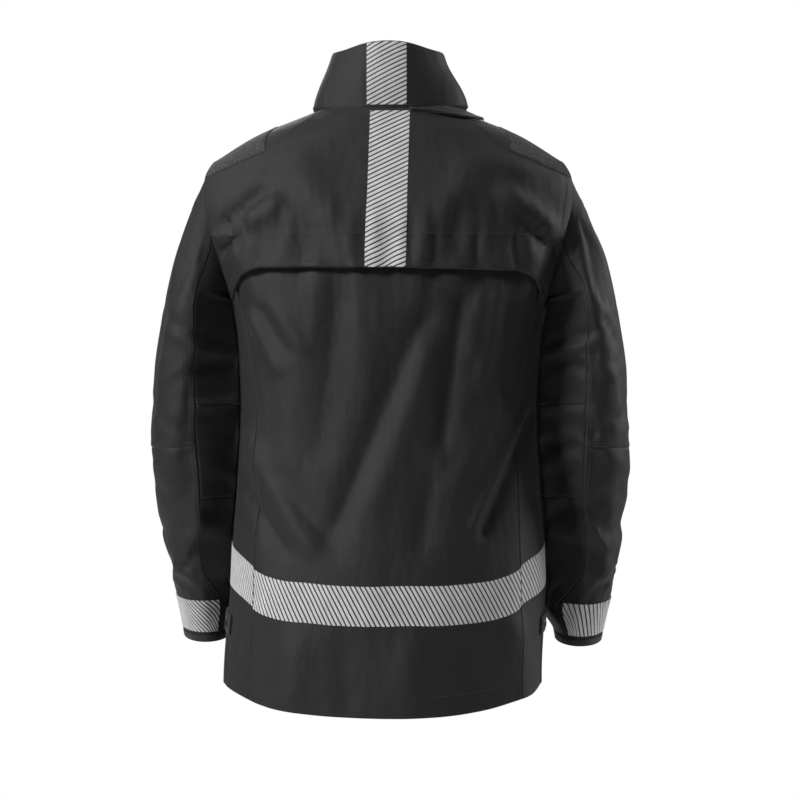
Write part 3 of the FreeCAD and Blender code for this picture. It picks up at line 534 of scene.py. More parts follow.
def simulate(surface, columns, rows, pin, spare, bending, frames, cap, drift=1.0, sideways=None):
    """Lets a form surface, cut with some spare cloth, settle under its own weight, held where pin says.

    drift is the share kept of each row's common movement; sideways gives the share kept of the movement in x.
    """
    angles = np.arange(columns) * surface.period / columns
    heights = surface.row_values(rows)
    a, b = np.meshgrid(angles, heights, indexing="ij")
    start = surface.raw(a, b)
    mesh = bpy.data.meshes.new("cloth_rest")
    mesh.from_pydata((start.reshape(-1, 3) * MM).tolist(), [], grid_faces(columns, rows, True).tolist())
    cloth = bpy.data.objects.new("cloth_rest", mesh)
    bpy.context.scene.collection.objects.link(cloth)
    group = cloth.vertex_groups.new(name="pin")
    held = pin(a, b)
    for index, weight in enumerate(held.reshape(-1)):
        group.add([index], float(weight), "REPLACE")
    modifier = cloth.modifiers.new("cloth", "CLOTH")
    settings = modifier.settings
    for key, value in CLOTH_SETTINGS.items():
        setattr(settings, key, value)
    settings.bending_stiffness = bending
    settings.vertex_group_mass = "pin"
    settings.shrink_min = -spare
    modifier.collision_settings.use_collision = False
    modifier.point_cache.frame_start, modifier.point_cache.frame_end = 1, frames
    for number in range(1, frames + 1):
        bpy.context.scene.frame_set(number)
    settled = cloth.evaluated_get(bpy.context.evaluated_depsgraph_get()).to_mesh()
    points = np.empty(len(settled.vertices) * 3, np.float32)
    settled.vertices.foreach_get("co", points)
    moved = points.reshape(columns, rows, 3) / MM - start
    moved = moved - (1 - drift) * moved.mean(0) * (1 - held[..., None])
    if sideways is not None:
        moved[..., 0] *= sideways(a)
    bpy.data.objects.remove(cloth)
    bpy.data.meshes.remove(mesh)
    bpy.context.scene.frame_set(1)
    length = np.linalg.norm(moved, axis=-1, keepdims=True)
    surface.grid = moved * (cap * np.tanh(length / cap) / np.maximum(length, 1e-6))


def torso_pin(angle, row):
    """Held at the neck, the shoulders, round the armholes and along the zip."""
    sleeve_hole = smooth((2.0 - armhole_reach(angle, row, 10.0)) / 0.8)
    neck = smooth((row + 215) / 90)
    from_zip = np.abs((angle - 270 + 180) % 360 - 180)
    zip_line = smooth((15 - from_zip) / 8)
    return np.clip(np.maximum.reduce([sleeve_hole, neck, zip_line, np.full_like(row, 0.045)]), 0, 1)


def sleeve_pin(turn, z):
    under = smooth((0.2 - np.cos(np.radians(turn))) / 0.8)
    head = smooth((z - mix(-150.0, -285.0, under)) / 50)
    cuff = smooth((CUFF_Z + 105 - z) / 60)
    beside = smooth((-0.3 - np.cos(np.radians(turn))) / 0.3)
    return np.clip(np.maximum.reduce([head, cuff, beside, np.full_like(z, 0.12)]), 0, 1)


def flank_share(angle):
    """The flanks keep their width beside the sleeves."""
    return 1 - 0.9 * smooth((44 - off_side(angle)) / 26)


def settle_cloth():
    simulate(torso, 132, 84, torso_pin, spare=0.025, bending=4.0, frames=34, cap=8.0, sideways=flank_share)
    simulate(arms["left"], 44, 70, sleeve_pin, spare=0.02, bending=5.0, frames=30, cap=3.0, drift=0.1)
    simulate(arms["right"], 46, 72, sleeve_pin, spare=0.025, bending=5.0, frames=30, cap=4.0, drift=0.1)


# ---- weights for pieces that cross a joint -----------------------------------------------------------------
def front_weight(points):
    """0 on the body and 1 on the part of a front that swings, by place, so that all pieces there agree."""
    x, y, z = np.abs(points[..., 0]), points[..., 1], points[..., 2]
    share = z / HEM_Z
    axis_x = mix(FRONT_AXIS_NECK_X, FRONT_AXIS_HEM_X, share)
    edge_x = mix(OPEN_EDGE_NECK_X, OPEN_EDGE_HEM_X, share)
    return smooth((axis_x + 6 - x) / (axis_x + 6 - edge_x)) * smooth((MID_Y - 8 - y) / 62)


def raise_weight(turn, z):
    """0 at the armhole and 1 at the upper arm, with the bend spread over the whole sleeve head."""
    under = (1 - np.cos(np.radians(turn))) / 2
    top, foot = mix(ARMHOLE_TOP_Z, HEAD_END_Z + 6, under), mix(-255.0, SLEEVE_SPLIT_Z, under)
    return smooth((top - z) / (top - foot))


def elbow_weight(turn, z):
    return smooth((ELBOW_Z + ELBOW_HALF - z) / (2 * ELBOW_HALF)) * np.ones_like(turn)


def yoke_weight(angle, row):
    """The flap lifts in its middle; its ends are sewn into the armholes."""
    from_side = np.minimum(angle, 180 - angle)
    return smooth((YOKE_HINGE_Z - row) / 26) * smooth((from_side - 27) / 34)


def vent_weight(angle, row):
    """The strap bends where it comes out from beside the sleeve."""
    from_side = np.where(angle > 90, 180 - angle, angle)
    return smooth((from_side + 3) / 12)


def cuff_tab_weight(turn, z):
    """The tab bends beside its sewn end."""
    return smooth((291 - turn) / 11)


# ---- materials --------------------------------------------------------------------------------------------
class Shader:
    """Small helper that wires nodes of one material."""

    def __init__(self, name):
        self.material = bpy.data.materials.new(name)
        self.material.use_nodes = True
        self.tree = self.material.node_tree
        self.surface = self.tree.nodes["Principled BSDF"]

    def node(self, kind, inputs=None, **settings):
        made = self.tree.nodes.new(kind)
        for key, value in settings.items():
            setattr(made, key, value)
        for key, value in (inputs or {}).items():
            self.wire(value, made.inputs[key])
        return made

    def wire(self, value, socket):
        if isinstance(value, bpy.types.NodeSocket):
            self.tree.links.new(value, socket)
        else:
            socket.default_value = value

    def shade(self, **values):
        """Wires values to the surface; a name's underscores stand for spaces."""
        for key, value in values.items():
            self.wire(value, self.surface.inputs[key.replace("_", " ")])

    def maths(self, operation, first, second=0.0):
        return self.node("ShaderNodeMath", {0: first, 1: second}, operation=operation).outputs[0]

    def weighted(self, *parts):
        """Sum of values, each times its share."""
        total = None
        for value, share in parts:
            part = self.maths("MULTIPLY", value, share)
            total = part if total is None else self.maths("ADD", total, part)
        return total

    def noise(self, coordinates, scale, detail=3.0, roughness=0.55):
        inputs = {"Vector": coordinates, "Scale": scale, "Detail": detail, "Roughness": roughness}
        return self.node("ShaderNodeTexNoise", inputs).outputs["Fac"]

    def ramp(self, value, stops):
        made = self.node("ShaderNodeValToRGB", {"Fac": value})
        elements = made.color_ramp.elements
        while len(elements) < len(stops):
            elements.new(0.5)
        for element, (place, colour) in zip(elements, stops):
            element.position = place
            element.color = (*colour, 1.0)
        return made.outputs["Color"]

    def spread(self, value, low, high):
        inputs = {"Value": value, "To Min": low, "To Max": high}
        return self.node("ShaderNodeMapRange", inputs).outputs["Result"]

    def bump(self, height, strength, distance, under=None):
        inputs = {"Height": height, "Strength": strength, "Distance": distance}
        if under is not None:
            inputs["Normal"] = under
        return self.node("ShaderNodeBump", inputs).outputs["Normal"]

    def thread(self, coordinates, pitch, direction=(1.0, 0.0)):
        """Sine of the place across threads of a pitch in metres, in cloth coordinates."""
        split = self.node("ShaderNodeSeparateXYZ", {0: coordinates})
        along = self.maths("MULTIPLY", split.outputs[0], direction[0] * 2 * math.pi / pitch)
        across = self.maths("MULTIPLY", split.outputs[1], direction[1] * 2 * math.pi / pitch)
        return self.maths("SINE", self.maths("ADD", along, across))


def fabric(name, dark, light, pitch, rough, sheen, weave_depth, twill=True, edge_wear=0.0, speckle=0.06):
    """Woven cloth: twill or plain threads, slubs, patchy colour, soft sheen, painted highlight on ridges."""
    s = Shader(name)
    cloth = s.node("ShaderNodeUVMap").outputs["UV"]
    place = s.node("ShaderNodeTexCoord").outputs["Object"]
    broad, patch, grain = s.noise(place, 9.0, 4.0), s.noise(place, 60.0, 3.0), s.noise(cloth, 900.0, 2.0)
    blend = s.weighted((broad, 0.5), (patch, 0.2), (grain, 0.3))
    if twill:
        slant = s.thread(cloth, pitch, (1.0, 0.6))
        weave = s.maths("MULTIPLY", slant, s.thread(cloth, pitch * 0.5, (1.0, -1.0)))
    else:
        weave = s.maths("ADD", s.thread(cloth, pitch), s.thread(cloth, pitch, (0.0, 1.0)))
    fleck = s.maths("ADD", s.maths("MULTIPLY", weave, speckle / 2),
                    s.maths("MULTIPLY", s.maths("SUBTRACT", s.noise(place, 430.0, 2.0), 0.5), 4 * speckle))
    colour = s.ramp(s.maths("ADD", blend, fleck), ((0.3, dark), (0.7, light)))
    # painted highlight: convex fold ridges, seam edges and rims are mixed towards a lighter copy of the cloth
    # colour
    if edge_wear:
        worn = s.node("ShaderNodeNewGeometry").outputs["Pointiness"]
        highlight_share = s.node("ShaderNodeMapRange", {"Value": worn, "From Min": 0.52, "From Max": 0.62,
                                               "To Max": edge_wear}).outputs["Result"]
        highlight_colour = tuple(2.4 * c for c in light) + (1.0,)
        colour = s.node("ShaderNodeMix", {0: highlight_share, 6: colour, 7: highlight_colour}, data_type="RGBA").outputs[2]
    s.shade(Base_Color=colour)
    s.shade(Roughness=s.spread(s.weighted((patch, 0.6), (grain, 0.4)), rough - 0.09, rough + 0.09))
    s.shade(Sheen_Weight=sheen, Sheen_Roughness=0.45, Specular_IOR_Level=0.35)
    slack = s.node("ShaderNodeMapping", {"Vector": place, "Scale": (1.0, 1.0, 0.45)}).outputs["Vector"]
    soft = s.bump(s.noise(slack, 24.0, 2.0, 0.45), 0.4, 0.006)
    crumple = s.bump(s.noise(slack, 95.0, 3.0, 0.5), 0.4, 0.0012, soft)
    coarse = s.bump(s.noise(place, 300.0, 2.0), 0.35, 0.0005, crumple)
    s.shade(Normal=s.bump(s.maths("ADD", weave, grain), weave_depth, 0.00016, coarse))
    return s.material


def reflective_film():
    """Silver heat-applied film: fine glass beads, faint dulling and handling marks."""
    s = Shader("reflective_film")
    cloth = s.node("ShaderNodeUVMap").outputs["UV"]
    place = s.node("ShaderNodeTexCoord").outputs["Object"]
    beads, patch, broad = s.noise(cloth, 2600.0, 1.0), s.noise(place, 70.0, 4.0), s.noise(place, 11.0, 3.0)
    blend = s.weighted((beads, 0.35), (patch, 0.35), (broad, 0.3))
    weave = s.thread(cloth, 0.0015, (1.0, 1.2))
    blend = s.maths("ADD", blend, s.maths("MULTIPLY", weave, 0.09))
    s.shade(Base_Color=s.ramp(blend, ((0.28, (0.52, 0.52, 0.515)), (0.7, (0.86, 0.86, 0.85)))))
    s.shade(Roughness=s.spread(patch, 0.55, 0.72))
    s.shade(Normal=s.bump(s.maths("ADD", beads, weave), 0.3, 0.0002))
    return s.material


def coated_metal(name, colour, rough):
    s = Shader(name)
    place = s.node("ShaderNodeTexCoord").outputs["Object"]
    patch, fine = s.noise(place, 220.0, 3.0), s.noise(place, 1800.0, 2.0)
    worn = s.node("ShaderNodeNewGeometry").outputs["Pointiness"]
    edge = s.node("ShaderNodeMapRange", {"Value": worn, "From Min": 0.53, "From Max": 0.6}).outputs["Result"]
    base = s.ramp(patch, ((0.3, tuple(0.8 * c for c in colour)), (0.7, colour)))
    bare = (0.35, 0.35, 0.36, 1.0)
    mixed = s.node("ShaderNodeMix", {0: s.maths("MULTIPLY", edge, 0.5), 6: base, 7: bare}, data_type="RGBA")
    s.shade(Base_Color=mixed.outputs[2], Metallic=0.55)
    s.shade(Roughness=s.spread(fine, rough - 0.08, rough + 0.08))
    s.shade(Normal=s.bump(fine, 0.15, 0.0001))
    return s.material


def floor_paint():
    s = Shader("studio_floor")
    place = s.node("ShaderNodeTexCoord").outputs["Object"]
    s.shade(Base_Color=s.ramp(s.noise(place, 3.0), ((0.3, (0.80, 0.80, 0.80)), (0.7, (0.84, 0.84, 0.84)))))
    s.shade(Roughness=0.8)
    return s.material


# the shell gets a painted highlight on its convex ridges and edges
SHELL = fabric("softshell", (0.0115, 0.0113, 0.0125), (0.0205, 0.0202, 0.0225), 0.0011, 0.54, 0.1, 0.35,
               edge_wear=0.2)
LINING = fabric("lining", (0.018, 0.019, 0.022), (0.028, 0.029, 0.033), 0.0007, 0.5, 0.1, 0.25, twill=False)
GRIP = fabric("grip_patch", (0.005, 0.005, 0.005), (0.098, 0.098, 0.097), 0.0026, 0.7, 0.05, 1.0, twill=False,
              speckle=1.3)
TRIM = fabric("webbing", (0.016, 0.016, 0.018), (0.026, 0.026, 0.029), 0.0014, 0.6, 0.2, 0.7, twill=False)
LOOP = fabric("loop_pile", (0.014, 0.014, 0.016), (0.03, 0.03, 0.034), 0.0009, 0.85, 0.4, 1.0, twill=False)
THREAD = fabric("thread", (0.030, 0.030, 0.033), (0.055, 0.055, 0.06), 0.0006, 0.55, 0.3, 0.5)
FILM = reflective_film()
METAL = coated_metal("black_metal", (0.03, 0.03, 0.032), 0.35)
COIL = coated_metal("zip_coil", (0.022, 0.022, 0.024), 0.4)

# looks: a material and its slot
OUTSIDE, INSIDE, BINDING = (SHELL, "shell"), (LINING, "lining"), (TRIM, "trim")
ZIP_CLOTH, ZIP_METAL = (TRIM, "zip_tape"), (METAL, "zip_metal")


# ---- mesh building ----------------------------------------------------------------------------------------
def make_piece(name, points, faces, material, slot, uv, smooth_faces=True):
    """One mesh from points and cloth coordinates in mm."""
    mesh = bpy.data.meshes.new(name)
    mesh.from_pydata((np.asarray(points) * MM).tolist(), [], [tuple(face) for face in faces])
    mesh.validate()
    layer = mesh.uv_layers.new(name="UVMap")
    loops = np.empty(len(mesh.loops), np.int32)
    mesh.loops.foreach_get("vertex_index", loops)
    layer.data.foreach_set("uv", (np.asarray(uv)[loops] * MM).astype(np.float32).ravel())
    mesh.polygons.foreach_set("use_smooth", [smooth_faces] * len(mesh.polygons))
    if smooth_faces:
        mesh.set_sharp_from_angle(angle=math.radians(SHARP_ANGLE))
    piece = bpy.data.objects.new(name, mesh)
    bpy.context.scene.collection.objects.link(piece)
    piece.data.materials.append(material)
    return piece


def attach(piece, ride):
    """ride is a body's name, or two bodies and each vertex's weight towards the second, which are not used.
    """
    if isinstance(ride, str):
        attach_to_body(piece, ride)
        return piece
    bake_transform(piece)
    return piece


def spaced(length, step, near_low=True, near_high=True, marks=()):
    """Shares from 0 to 1 along a length, every step, with extra ones by the edges and the marked places."""
    values = set(np.linspace(0, length, max(2, int(round(length / step)) + 1)))
    if near_low:
        values = {v for v in values if v > EDGE_STEPS[-1] + 1} | set(EDGE_STEPS)
    if near_high:
        values = {v for v in values if v < length - EDGE_STEPS[-1] - 1} | {length - f for f in EDGE_STEPS}
    for mark in marks:
        values = {v for v in values if abs(v - mark) > MARK_REACH} | {mark + d for d in MARK_STEPS}
    found = [0.0]
    for v in sorted(v for v in values if 0 <= v <= length) + [length]:
        if v - found[-1] > LEAST_STEP:
            found.append(v)
    found[-1] = length
    return np.array(found) / length


def edge_roll(distance, band):
    """Height of a panel near a sewn edge: down at the seam, then a slightly raised band of doubled cloth."""
    raised = 0.55 * smooth(distance / 1.6) * (1 - smooth((distance - band) / 2.5)) if band else 0.0
    return -0.75 * np.exp(-(distance / 0.7) ** 2) + raised


def sheet_faces(columns, rows, wrap=False):
    """Faces of an outer and an inner grid of points, joined round the edge."""
    top = grid_faces(columns, rows, wrap)
    count = columns * rows
    index = np.arange(count).reshape(columns, rows)
    parts = [top, top[:, ::-1] + count]
    borders = [index[:, 0], index[::-1, -1]]
    if wrap:
        borders = [np.append(border, border[0]) for border in borders]
    else:
        borders += [index[-1, :], index[0, ::-1]]
    for border in borders:
        a, b = border[:-1], border[1:]
        parts.append(np.stack([a + count, b + count, b, a], -1))
    return np.concatenate(parts)


def surface_sheet(surface, place, u, v, lift, thick, bands, pucker):
    """Parameters, outer layer, inner layer and cloth coordinates of a sheet laid on a surface.

    bands gives, for the four edges, None for a free edge or the width of its raised band of doubled cloth.
    """
    uu, vv = np.meshgrid(u, v, indexing="ij")
    a, b = np.broadcast_arrays(*place(uu, vv))
    plain = surface.point(a, b)
    du = np.linalg.norm(np.diff(plain, axis=0), axis=-1)
    dv = np.linalg.norm(np.diff(plain, axis=1), axis=-1)
    across = np.concatenate([np.zeros((1, len(v))), np.cumsum(du, 0)])
    along = np.concatenate([np.zeros((len(u), 1)), np.cumsum(dv, 1)], 1)
    edges = ((across, along), (across[-1:] - across, along), (along, across), (along[:, -1:] - along, across))
    base = lift(a, b) if callable(lift) else lift
    height = np.broadcast_to(base, uu.shape)
    for (distance, run), band in zip(edges, bands):
        if band is None:
            continue
        height = height + edge_roll(distance, band)
        wave = np.sin(run / 2.6) * np.sin(run / 7.1 + 1.0)
        height = height + pucker * wave * smooth(distance / 2) * (1 - smooth((distance - 5) / 12))
    outer = surface.lifted(a, b, height)
    inner = surface.lifted(a, b, np.minimum(height, base) - thick)
    return a, b, outer, inner, np.stack([across - across[-1:] / 2, along], -1)


def panel(name, surface, place, u, v, look, ride, side=1, nodes=(), lift=0.0, thick=SHELL_THICK,
          bands=(0, 0, 0, 0), pucker=0.0, wrap=False):
    """A closed sheet on its side of the coat, which stands for the named CAD nodes.

    look is a material and its slot; ride is a body, or two bodies and a weight function of (a, b, points).
    """
    placed = place if surface.mirror else mirror_place(place, side)
    a, b, outer, inner, uv = surface_sheet(surface, placed, u, v, lift, thick, bands, pucker)
    faces = sheet_faces(*a.shape, wrap)
    points = np.concatenate([outer.reshape(-1, 3), inner.reshape(-1, 3)])
    uv = np.concatenate([uv.reshape(-1, 2)] * 2)
    piece = make_piece(name, points, faces if side > 0 else faces[:, ::-1], *look, uv)
    if not isinstance(ride, str):
        first, second, weight = ride
        values = np.broadcast_to(weight(a, b, outer), a.shape).reshape(-1)
        ride = (first, second, np.concatenate([values, values]))
    attach(piece, ride)
    if nodes:
        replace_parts(piece, *nodes)


def by_place(points_weight):
    return lambda a, b, points: points_weight(points)


def by_cloth(cloth_weight):
    return lambda a, b, points: cloth_weight(a, b)


def front_ride(name):
    return "torso", "front_" + name, by_place(front_weight)


# ---- stitches ---------------------------------------------------------------------------------------------
class Stitching:
    """Rows of topstitches gathered into one mesh."""

    def __init__(self):
        self.points, self.faces, self.weights, self.total = [], [], [], 0

    def row(self, surface, a, b, lift, weight=None):
        a, b = np.broadcast_arrays(np.asarray(a, float), np.asarray(b, float))
        line = surface.point(a, b)
        run = np.concatenate([[0], np.cumsum(np.linalg.norm(np.diff(line, axis=0), axis=-1))])
        middle = (np.arange(int(run[-1] / STITCH_PITCH)) + 0.5) * STITCH_PITCH
        ends = []
        for shift in (-0.5, -0.25, 0.25, 0.5):
            at = middle + shift * STITCH_LENGTH
            aa, bb = np.interp(at, run, a), np.interp(at, run, b)
            ends.append((surface.point(aa, bb), surface.normal_of(surface.point, aa, bb), aa, bb))
        forward = unit(ends[-1][0] - ends[0][0])
        for index in range(len(middle)):
            self.add_stitch([(point[index], out[index]) for point, out, _, _ in ends], forward[index], lift)
            if weight is not None:
                point, _, aa, bb = ends[1]
                self.weights += [float(weight(aa[index], bb[index], point[index]))] * 16

    def add_stitch(self, stations, forward, lift):
        """Four rings of four points, lower and narrower at the two ends, closed by end faces."""
        ring_points = []
        for number, (point, out) in enumerate(stations):
            inner = number in (1, 2)
            side = np.cross(forward, out)
            centre = point + out * lift
            top = STITCH_TALL if inner else 0.1
            half = STITCH_WIDE / 2 if inner else STITCH_WIDE / 3
            ring_points += [centre - side * half, centre - side * half * 0.5 + out * top,
                            centre + side * half * 0.5 + out * top, centre + side * half]
        base = self.total
        self.points.append(np.array(ring_points))
        self.total += len(ring_points)
        for first in (base, base + 4, base + 8):
            for m in range(4):
                n = (m + 1) % 4
                self.faces.append((first + m, first + n, first + 4 + n, first + 4 + m))
        self.faces.append((base + 3, base + 2, base + 1, base))
        self.faces.append((base + 12, base + 13, base + 14, base + 15))

    def build(self, name, ride):
        points = np.concatenate(self.points)
        piece = make_piece(name, points, self.faces, THREAD, "trim", points[:, [0, 2]])
        attach(piece, ride if isinstance(ride, str) else (*ride, self.weights))


# ---- edges of the panels ----------------------------------------------------------------------------------
def edge_gap(row):
    return np.degrees(SEAM_GAP / 2 / back_depth(row))


def body_at_x(x, row):
    """Angle on the left front where a row reaches x."""
    return -np.degrees(np.arccos(np.clip((x / half_width(row)) ** (ROUNDNESS / 2), 0, 1)))


def back_edge(row):
    return np.maximum(side_back_angle(row), armhole_angle(row)) + edge_gap(row)


def yoke_edge(row):
    seam = np.where(row > SHOULDER_SEAM[0][0], seam_angle(row), 0.0)
    return np.maximum(seam, armhole_angle(row)) + edge_gap(row)


def front_edge(row):
    seam = np.where(row > SHOULDER_SEAM[0][0], FRONT_YOKE_SHARE * seam_angle(row), 0.0)
    seam = np.maximum(seam, armhole_angle(row, front=True))
    seam = np.where(row < ARMHOLE_MID_Z, np.maximum(seam, -SIDE_FRONT_ANGLE), seam)
    return -seam - edge_gap(row)


def flap_edge_row(angle):
    """The yoke's free edge: nearly straight across the back, dropping to a hollow wing at each armhole."""
    from_side = np.minimum(angle, 180 - angle)
    share = np.clip(1 - (from_side - WING_TIP_ANGLE) / WING_SPAN_ANGLE, 0, 1)
    sag = 3.0 * smooth((angle - 80) / 50)
    return YOKE_EDGE_Z - sag - YOKE_WING_DROP * share ** WING_HOLLOW


def turned(angle, side):
    """The same angle on the left (side 1) or mirrored to the right (side -1)."""
    return angle if side > 0 else 180 - angle


def mirror_place(place, side):
    def placed(u, v):
        angle, row = place(u, v)
        return turned(angle, side), row
    return placed


def crowded(v):
    return 1 - (1 - v) ** 2


def back_place(u, v):
    row = mix(HEM_Z, YOKE_HINGE_Z + 18, v)
    return mix(back_edge(row), 180 - back_edge(row), u), row


def yoke_place(u, v):
    row = mix(YOKE_HINGE_Z, NECK_ROW, crowded(v))
    return mix(yoke_edge(row), 180 - yoke_edge(row), u), row


def flap_place(u, v):
    side = mix(WING_TIP_ANGLE, float(yoke_edge(YOKE_HINGE_Z)), v)
    angle = mix(side, 180 - side, u)
    return angle, mix(flap_edge_row(angle), YOKE_HINGE_Z, v)


def front_place(u, v):
    row = mix(HEM_Z, NECK_ROW, crowded(v))
    return mix(body_at_x(PLACKET_HALF, row), front_edge(row), u), row


def gusset_place(u, v, drop=0.3):
    top_angle = mix(SIDE_FRONT_ANGLE, ARMHOLE_BACK_ANGLE - 0.2, u)
    share = top_angle / np.where(top_angle > 0, ARMHOLE_BACK_ANGLE, ARMHOLE_FRONT_ANGLE)
    top = ARMHOLE_MID_Z - ARMHOLE_HALF * np.sqrt(1 - share * share) - drop
    row = mix(HEM_Z, top, v)
    return mix(SIDE_FRONT_ANGLE, side_back_angle(row) - edge_gap(row), u), row


def shoulder_place(low, high):
    def place(u, v):
        row = mix(low, high, v)
        reach = mix(-1, 1, u)
        angle = seam_angle(row) * reach * np.where(reach > 0, 1.0, FRONT_YOKE_SHARE)
        return angle, mix(seam_ridge(row), row, reach * reach)
    return place


def flap_lift(angle, row):
    """The flap stands off the back at its free edge, least at its sewn ends."""
    from_side = np.minimum(angle, 180 - angle)
    share = smooth((YOKE_HINGE_Z - row) / 42)
    wave = 0.7 * np.sin(np.radians(angle) * 9) + 0.4 * np.sin(np.radians(angle) * 23 + 1)
    return YOKE_LIFT + share * (4.6 + wave) * (0.1 + 0.9 * smooth((from_side - WING_TIP_ANGLE - 4) / 30))


def back_lift(angle, row):
    """The back is drawn in behind the flap's edge, where the vent is."""
    return -3.2 * np.exp(-((row - flap_edge_row(angle) - 4) / 15) ** 2)


# ---- body pieces ------------------------------------------------------------------------------------------
def build_back():
    panel("coat_back", torso, back_place, spaced(440, 6.5), spaced(650, 6.5), OUTSIDE, "torso",
          nodes=("back_panel", "yoke_vent_mesh"), lift=back_lift, bands=(0, 0, 0, None), pucker=0.22)
    panel("coat_yoke", torso, yoke_place, spaced(460, 6), spaced(190, 5, near_low=False), OUTSIDE, "torso",
          nodes=("back_yoke",), lift=YOKE_LIFT, bands=(8, 8, None, None), pucker=0.2)
    panel("coat_yoke_flap", torso, flap_place, spaced(470, 5), spaced(46, 4), OUTSIDE,
          ("torso", "yoke_flap", by_cloth(yoke_weight)), nodes=("yoke_flap",), lift=flap_lift, thick=2.0,
          bands=(None, None, 7, None), pucker=0.25)


def build_sides():
    patch = shoulder_place(SHOULDER_SEAM[0][0] + 0.4, PATCH_INNER_ROW - 0.2)
    shoulder = shoulder_place(PATCH_INNER_ROW + 0.2, NECK_ROW)
    shoulders = (        # label, place, look, lift
        ("shoulder_patch", patch, (GRIP, "grip_patch"), PATCH_LIFT),
        ("shoulder_panel", shoulder, OUTSIDE, 0.2),
    )
    for name, side in SIDES:
        panel("coat_side_" + name, torso, gusset_place, spaced(120, 6), spaced(500, 6.5), OUTSIDE, "torso",
              side, ("side_gusset_" + name,), pucker=0.22)
        panel("coat_front_" + name, torso, front_place, spaced(230, 6), spaced(780, 6, near_high=False),
              OUTSIDE, front_ride(name), side, ("front_panel_" + name, "side_panel_" + name),
              bands=(5, 0, 0, None), pucker=0.2)
        for label, place, look, lift in shoulders:
            panel(f"coat_{label}_{name}", torso, place, spaced(130, 4.5), spaced(80, 4.5), look, "torso",
                  side, (f"{label}_{name}",), lift=lift, pucker=0.15)


def back_lining_place(u, v):
    row = mix(HEM_Z + LINING_RISE, -6.0, crowded(v))
    seam = np.where(row > SHOULDER_SEAM[0][0], seam_angle(row), 0)
    edge = np.maximum(30.0, np.maximum(armhole_angle(row) + 2, seam))
    return mix(edge, 180 - edge, u), row


def side_lining_place(u, v):
    angle, row = gusset_place(u, v, drop=6)
    return angle, np.maximum(row, HEM_Z + LINING_RISE)


def front_lining_place(u, v):
    row = mix(HEM_Z + LINING_RISE, -30.0, crowded(v))
    return mix(body_at_x(24.0, row), front_edge(row) - 1, u), row


def build_lining():
    narrow, across, down = (np.linspace(0, 1, count) for count in (20, 40, 70))
    shape = dict(lift=-5.0, thick=LINING_THICK, bands=FREE_EDGES)
    panel("coat_back_lining", torso, back_lining_place, across, down, INSIDE, "torso", nodes=("back_lining",),
          **shape)
    for name, side in SIDES:
        panel("coat_side_lining_" + name, torso, side_lining_place, narrow, down, INSIDE, "torso", side,
              **shape)
        panel("coat_front_lining_" + name, torso, front_lining_place, across, down, INSIDE, front_ride(name),
              side, ("front_lining_" + name,), **shape)


# ---- collar -----------------------------------------------------------------------------------------------
def half_collar(low, high):
    return lambda u, v: (mix(COLLAR_FRONT_ANGLE, 90.0, u), mix(low, high, v))


def stow_place(u, v):
    """The band over the stowed hood, wider towards its outer end."""
    angle = mix(*STOW_ANGLES, u)
    return angle, mix(mix(-5.0, -17.0, smooth(u * 1.2)), -0.8, v)


def stow_lift(angle, row):
    return 4.2 + 2.6 * np.sin(np.pi * (angle - STOW_ANGLES[0]) / 62)


def build_collar():
    u, v = spaced(270, 4.5, near_high=False), spaced(92, 4)
    for name, side in SIDES:
        ride = front_ride(name)
        shared, shared_lining = (("collar_back",), ("collar_lining",)) if side > 0 else ((), ())
        panel("coat_collar_" + name, collar_form, half_collar(-0.05, 1.0), u, v, OUTSIDE, ride, side,
              ("collar_end_" + name, *shared), thick=COLLAR_THICK, bands=(0, None, None, 0), pucker=0.12)
        panel("coat_collar_lining_" + name, collar_form, half_collar(0.03, 0.93), u, v, INSIDE, ride, side,
              shared_lining, lift=-COLLAR_THICK - 0.1, thick=0.7, bands=(0, None, 0, 0))
    panel("coat_hood_stow_flap", torso, stow_place, spaced(110, 4), spaced(14, 2), OUTSIDE, "torso",
          nodes=("hood_stow_flap",), lift=stow_lift, thick=2.0, bands=(0, 4, 3, None), pucker=0.2)


# ---- sleeves ----------------------------------------------------------------------------------------------
def back_seam_turn(z):
    """The back seam runs straight down the sleeve and turns inwards above the cuff."""
    return BACK_SEAM_TURN + 36 * smooth((-596 - z) / 115)


def seam_lift(heights):
    """Cross seams of a sleeve panel: a groove with a raised band above it."""
    def lift(turn, z):
        total = np.zeros(np.broadcast(turn, z).shape)
        for height in heights:
            d = z - height
            total = total - 0.8 * np.exp(-(d / 0.9) ** 2)
            total = total + 0.45 * smooth(d / 1.6) * (1 - smooth((d - 6) / 2.5))
        return total
    return lift


def cuff_roll(turn, z):
    return 1.0 + 0.5 * np.sin(np.pi * (z - CUFF_Z + 2) / 9)


def outer_sleeve(u, z):
    return mix(FRONT_SEAM_TURN + 0.15, back_seam_turn(z) - 0.15, u), z


def under_sleeve(u, z):
    return mix(back_seam_turn(z) + 0.15, 360 + FRONT_SEAM_TURN - 0.15, u), z


def whole_sleeve(u, z):
    return 360 * u, z


def between(place, low, high):
    """The stretch of a sleeve panel from one height to another."""
    return lambda u, v: place(u, mix(low, high, v))


def cuff_tab_place(u, v):
    return mix(*CUFF_TAB_TURNS, u), mix(CUFF_Z + 15, CUFF_Z + 39, v)


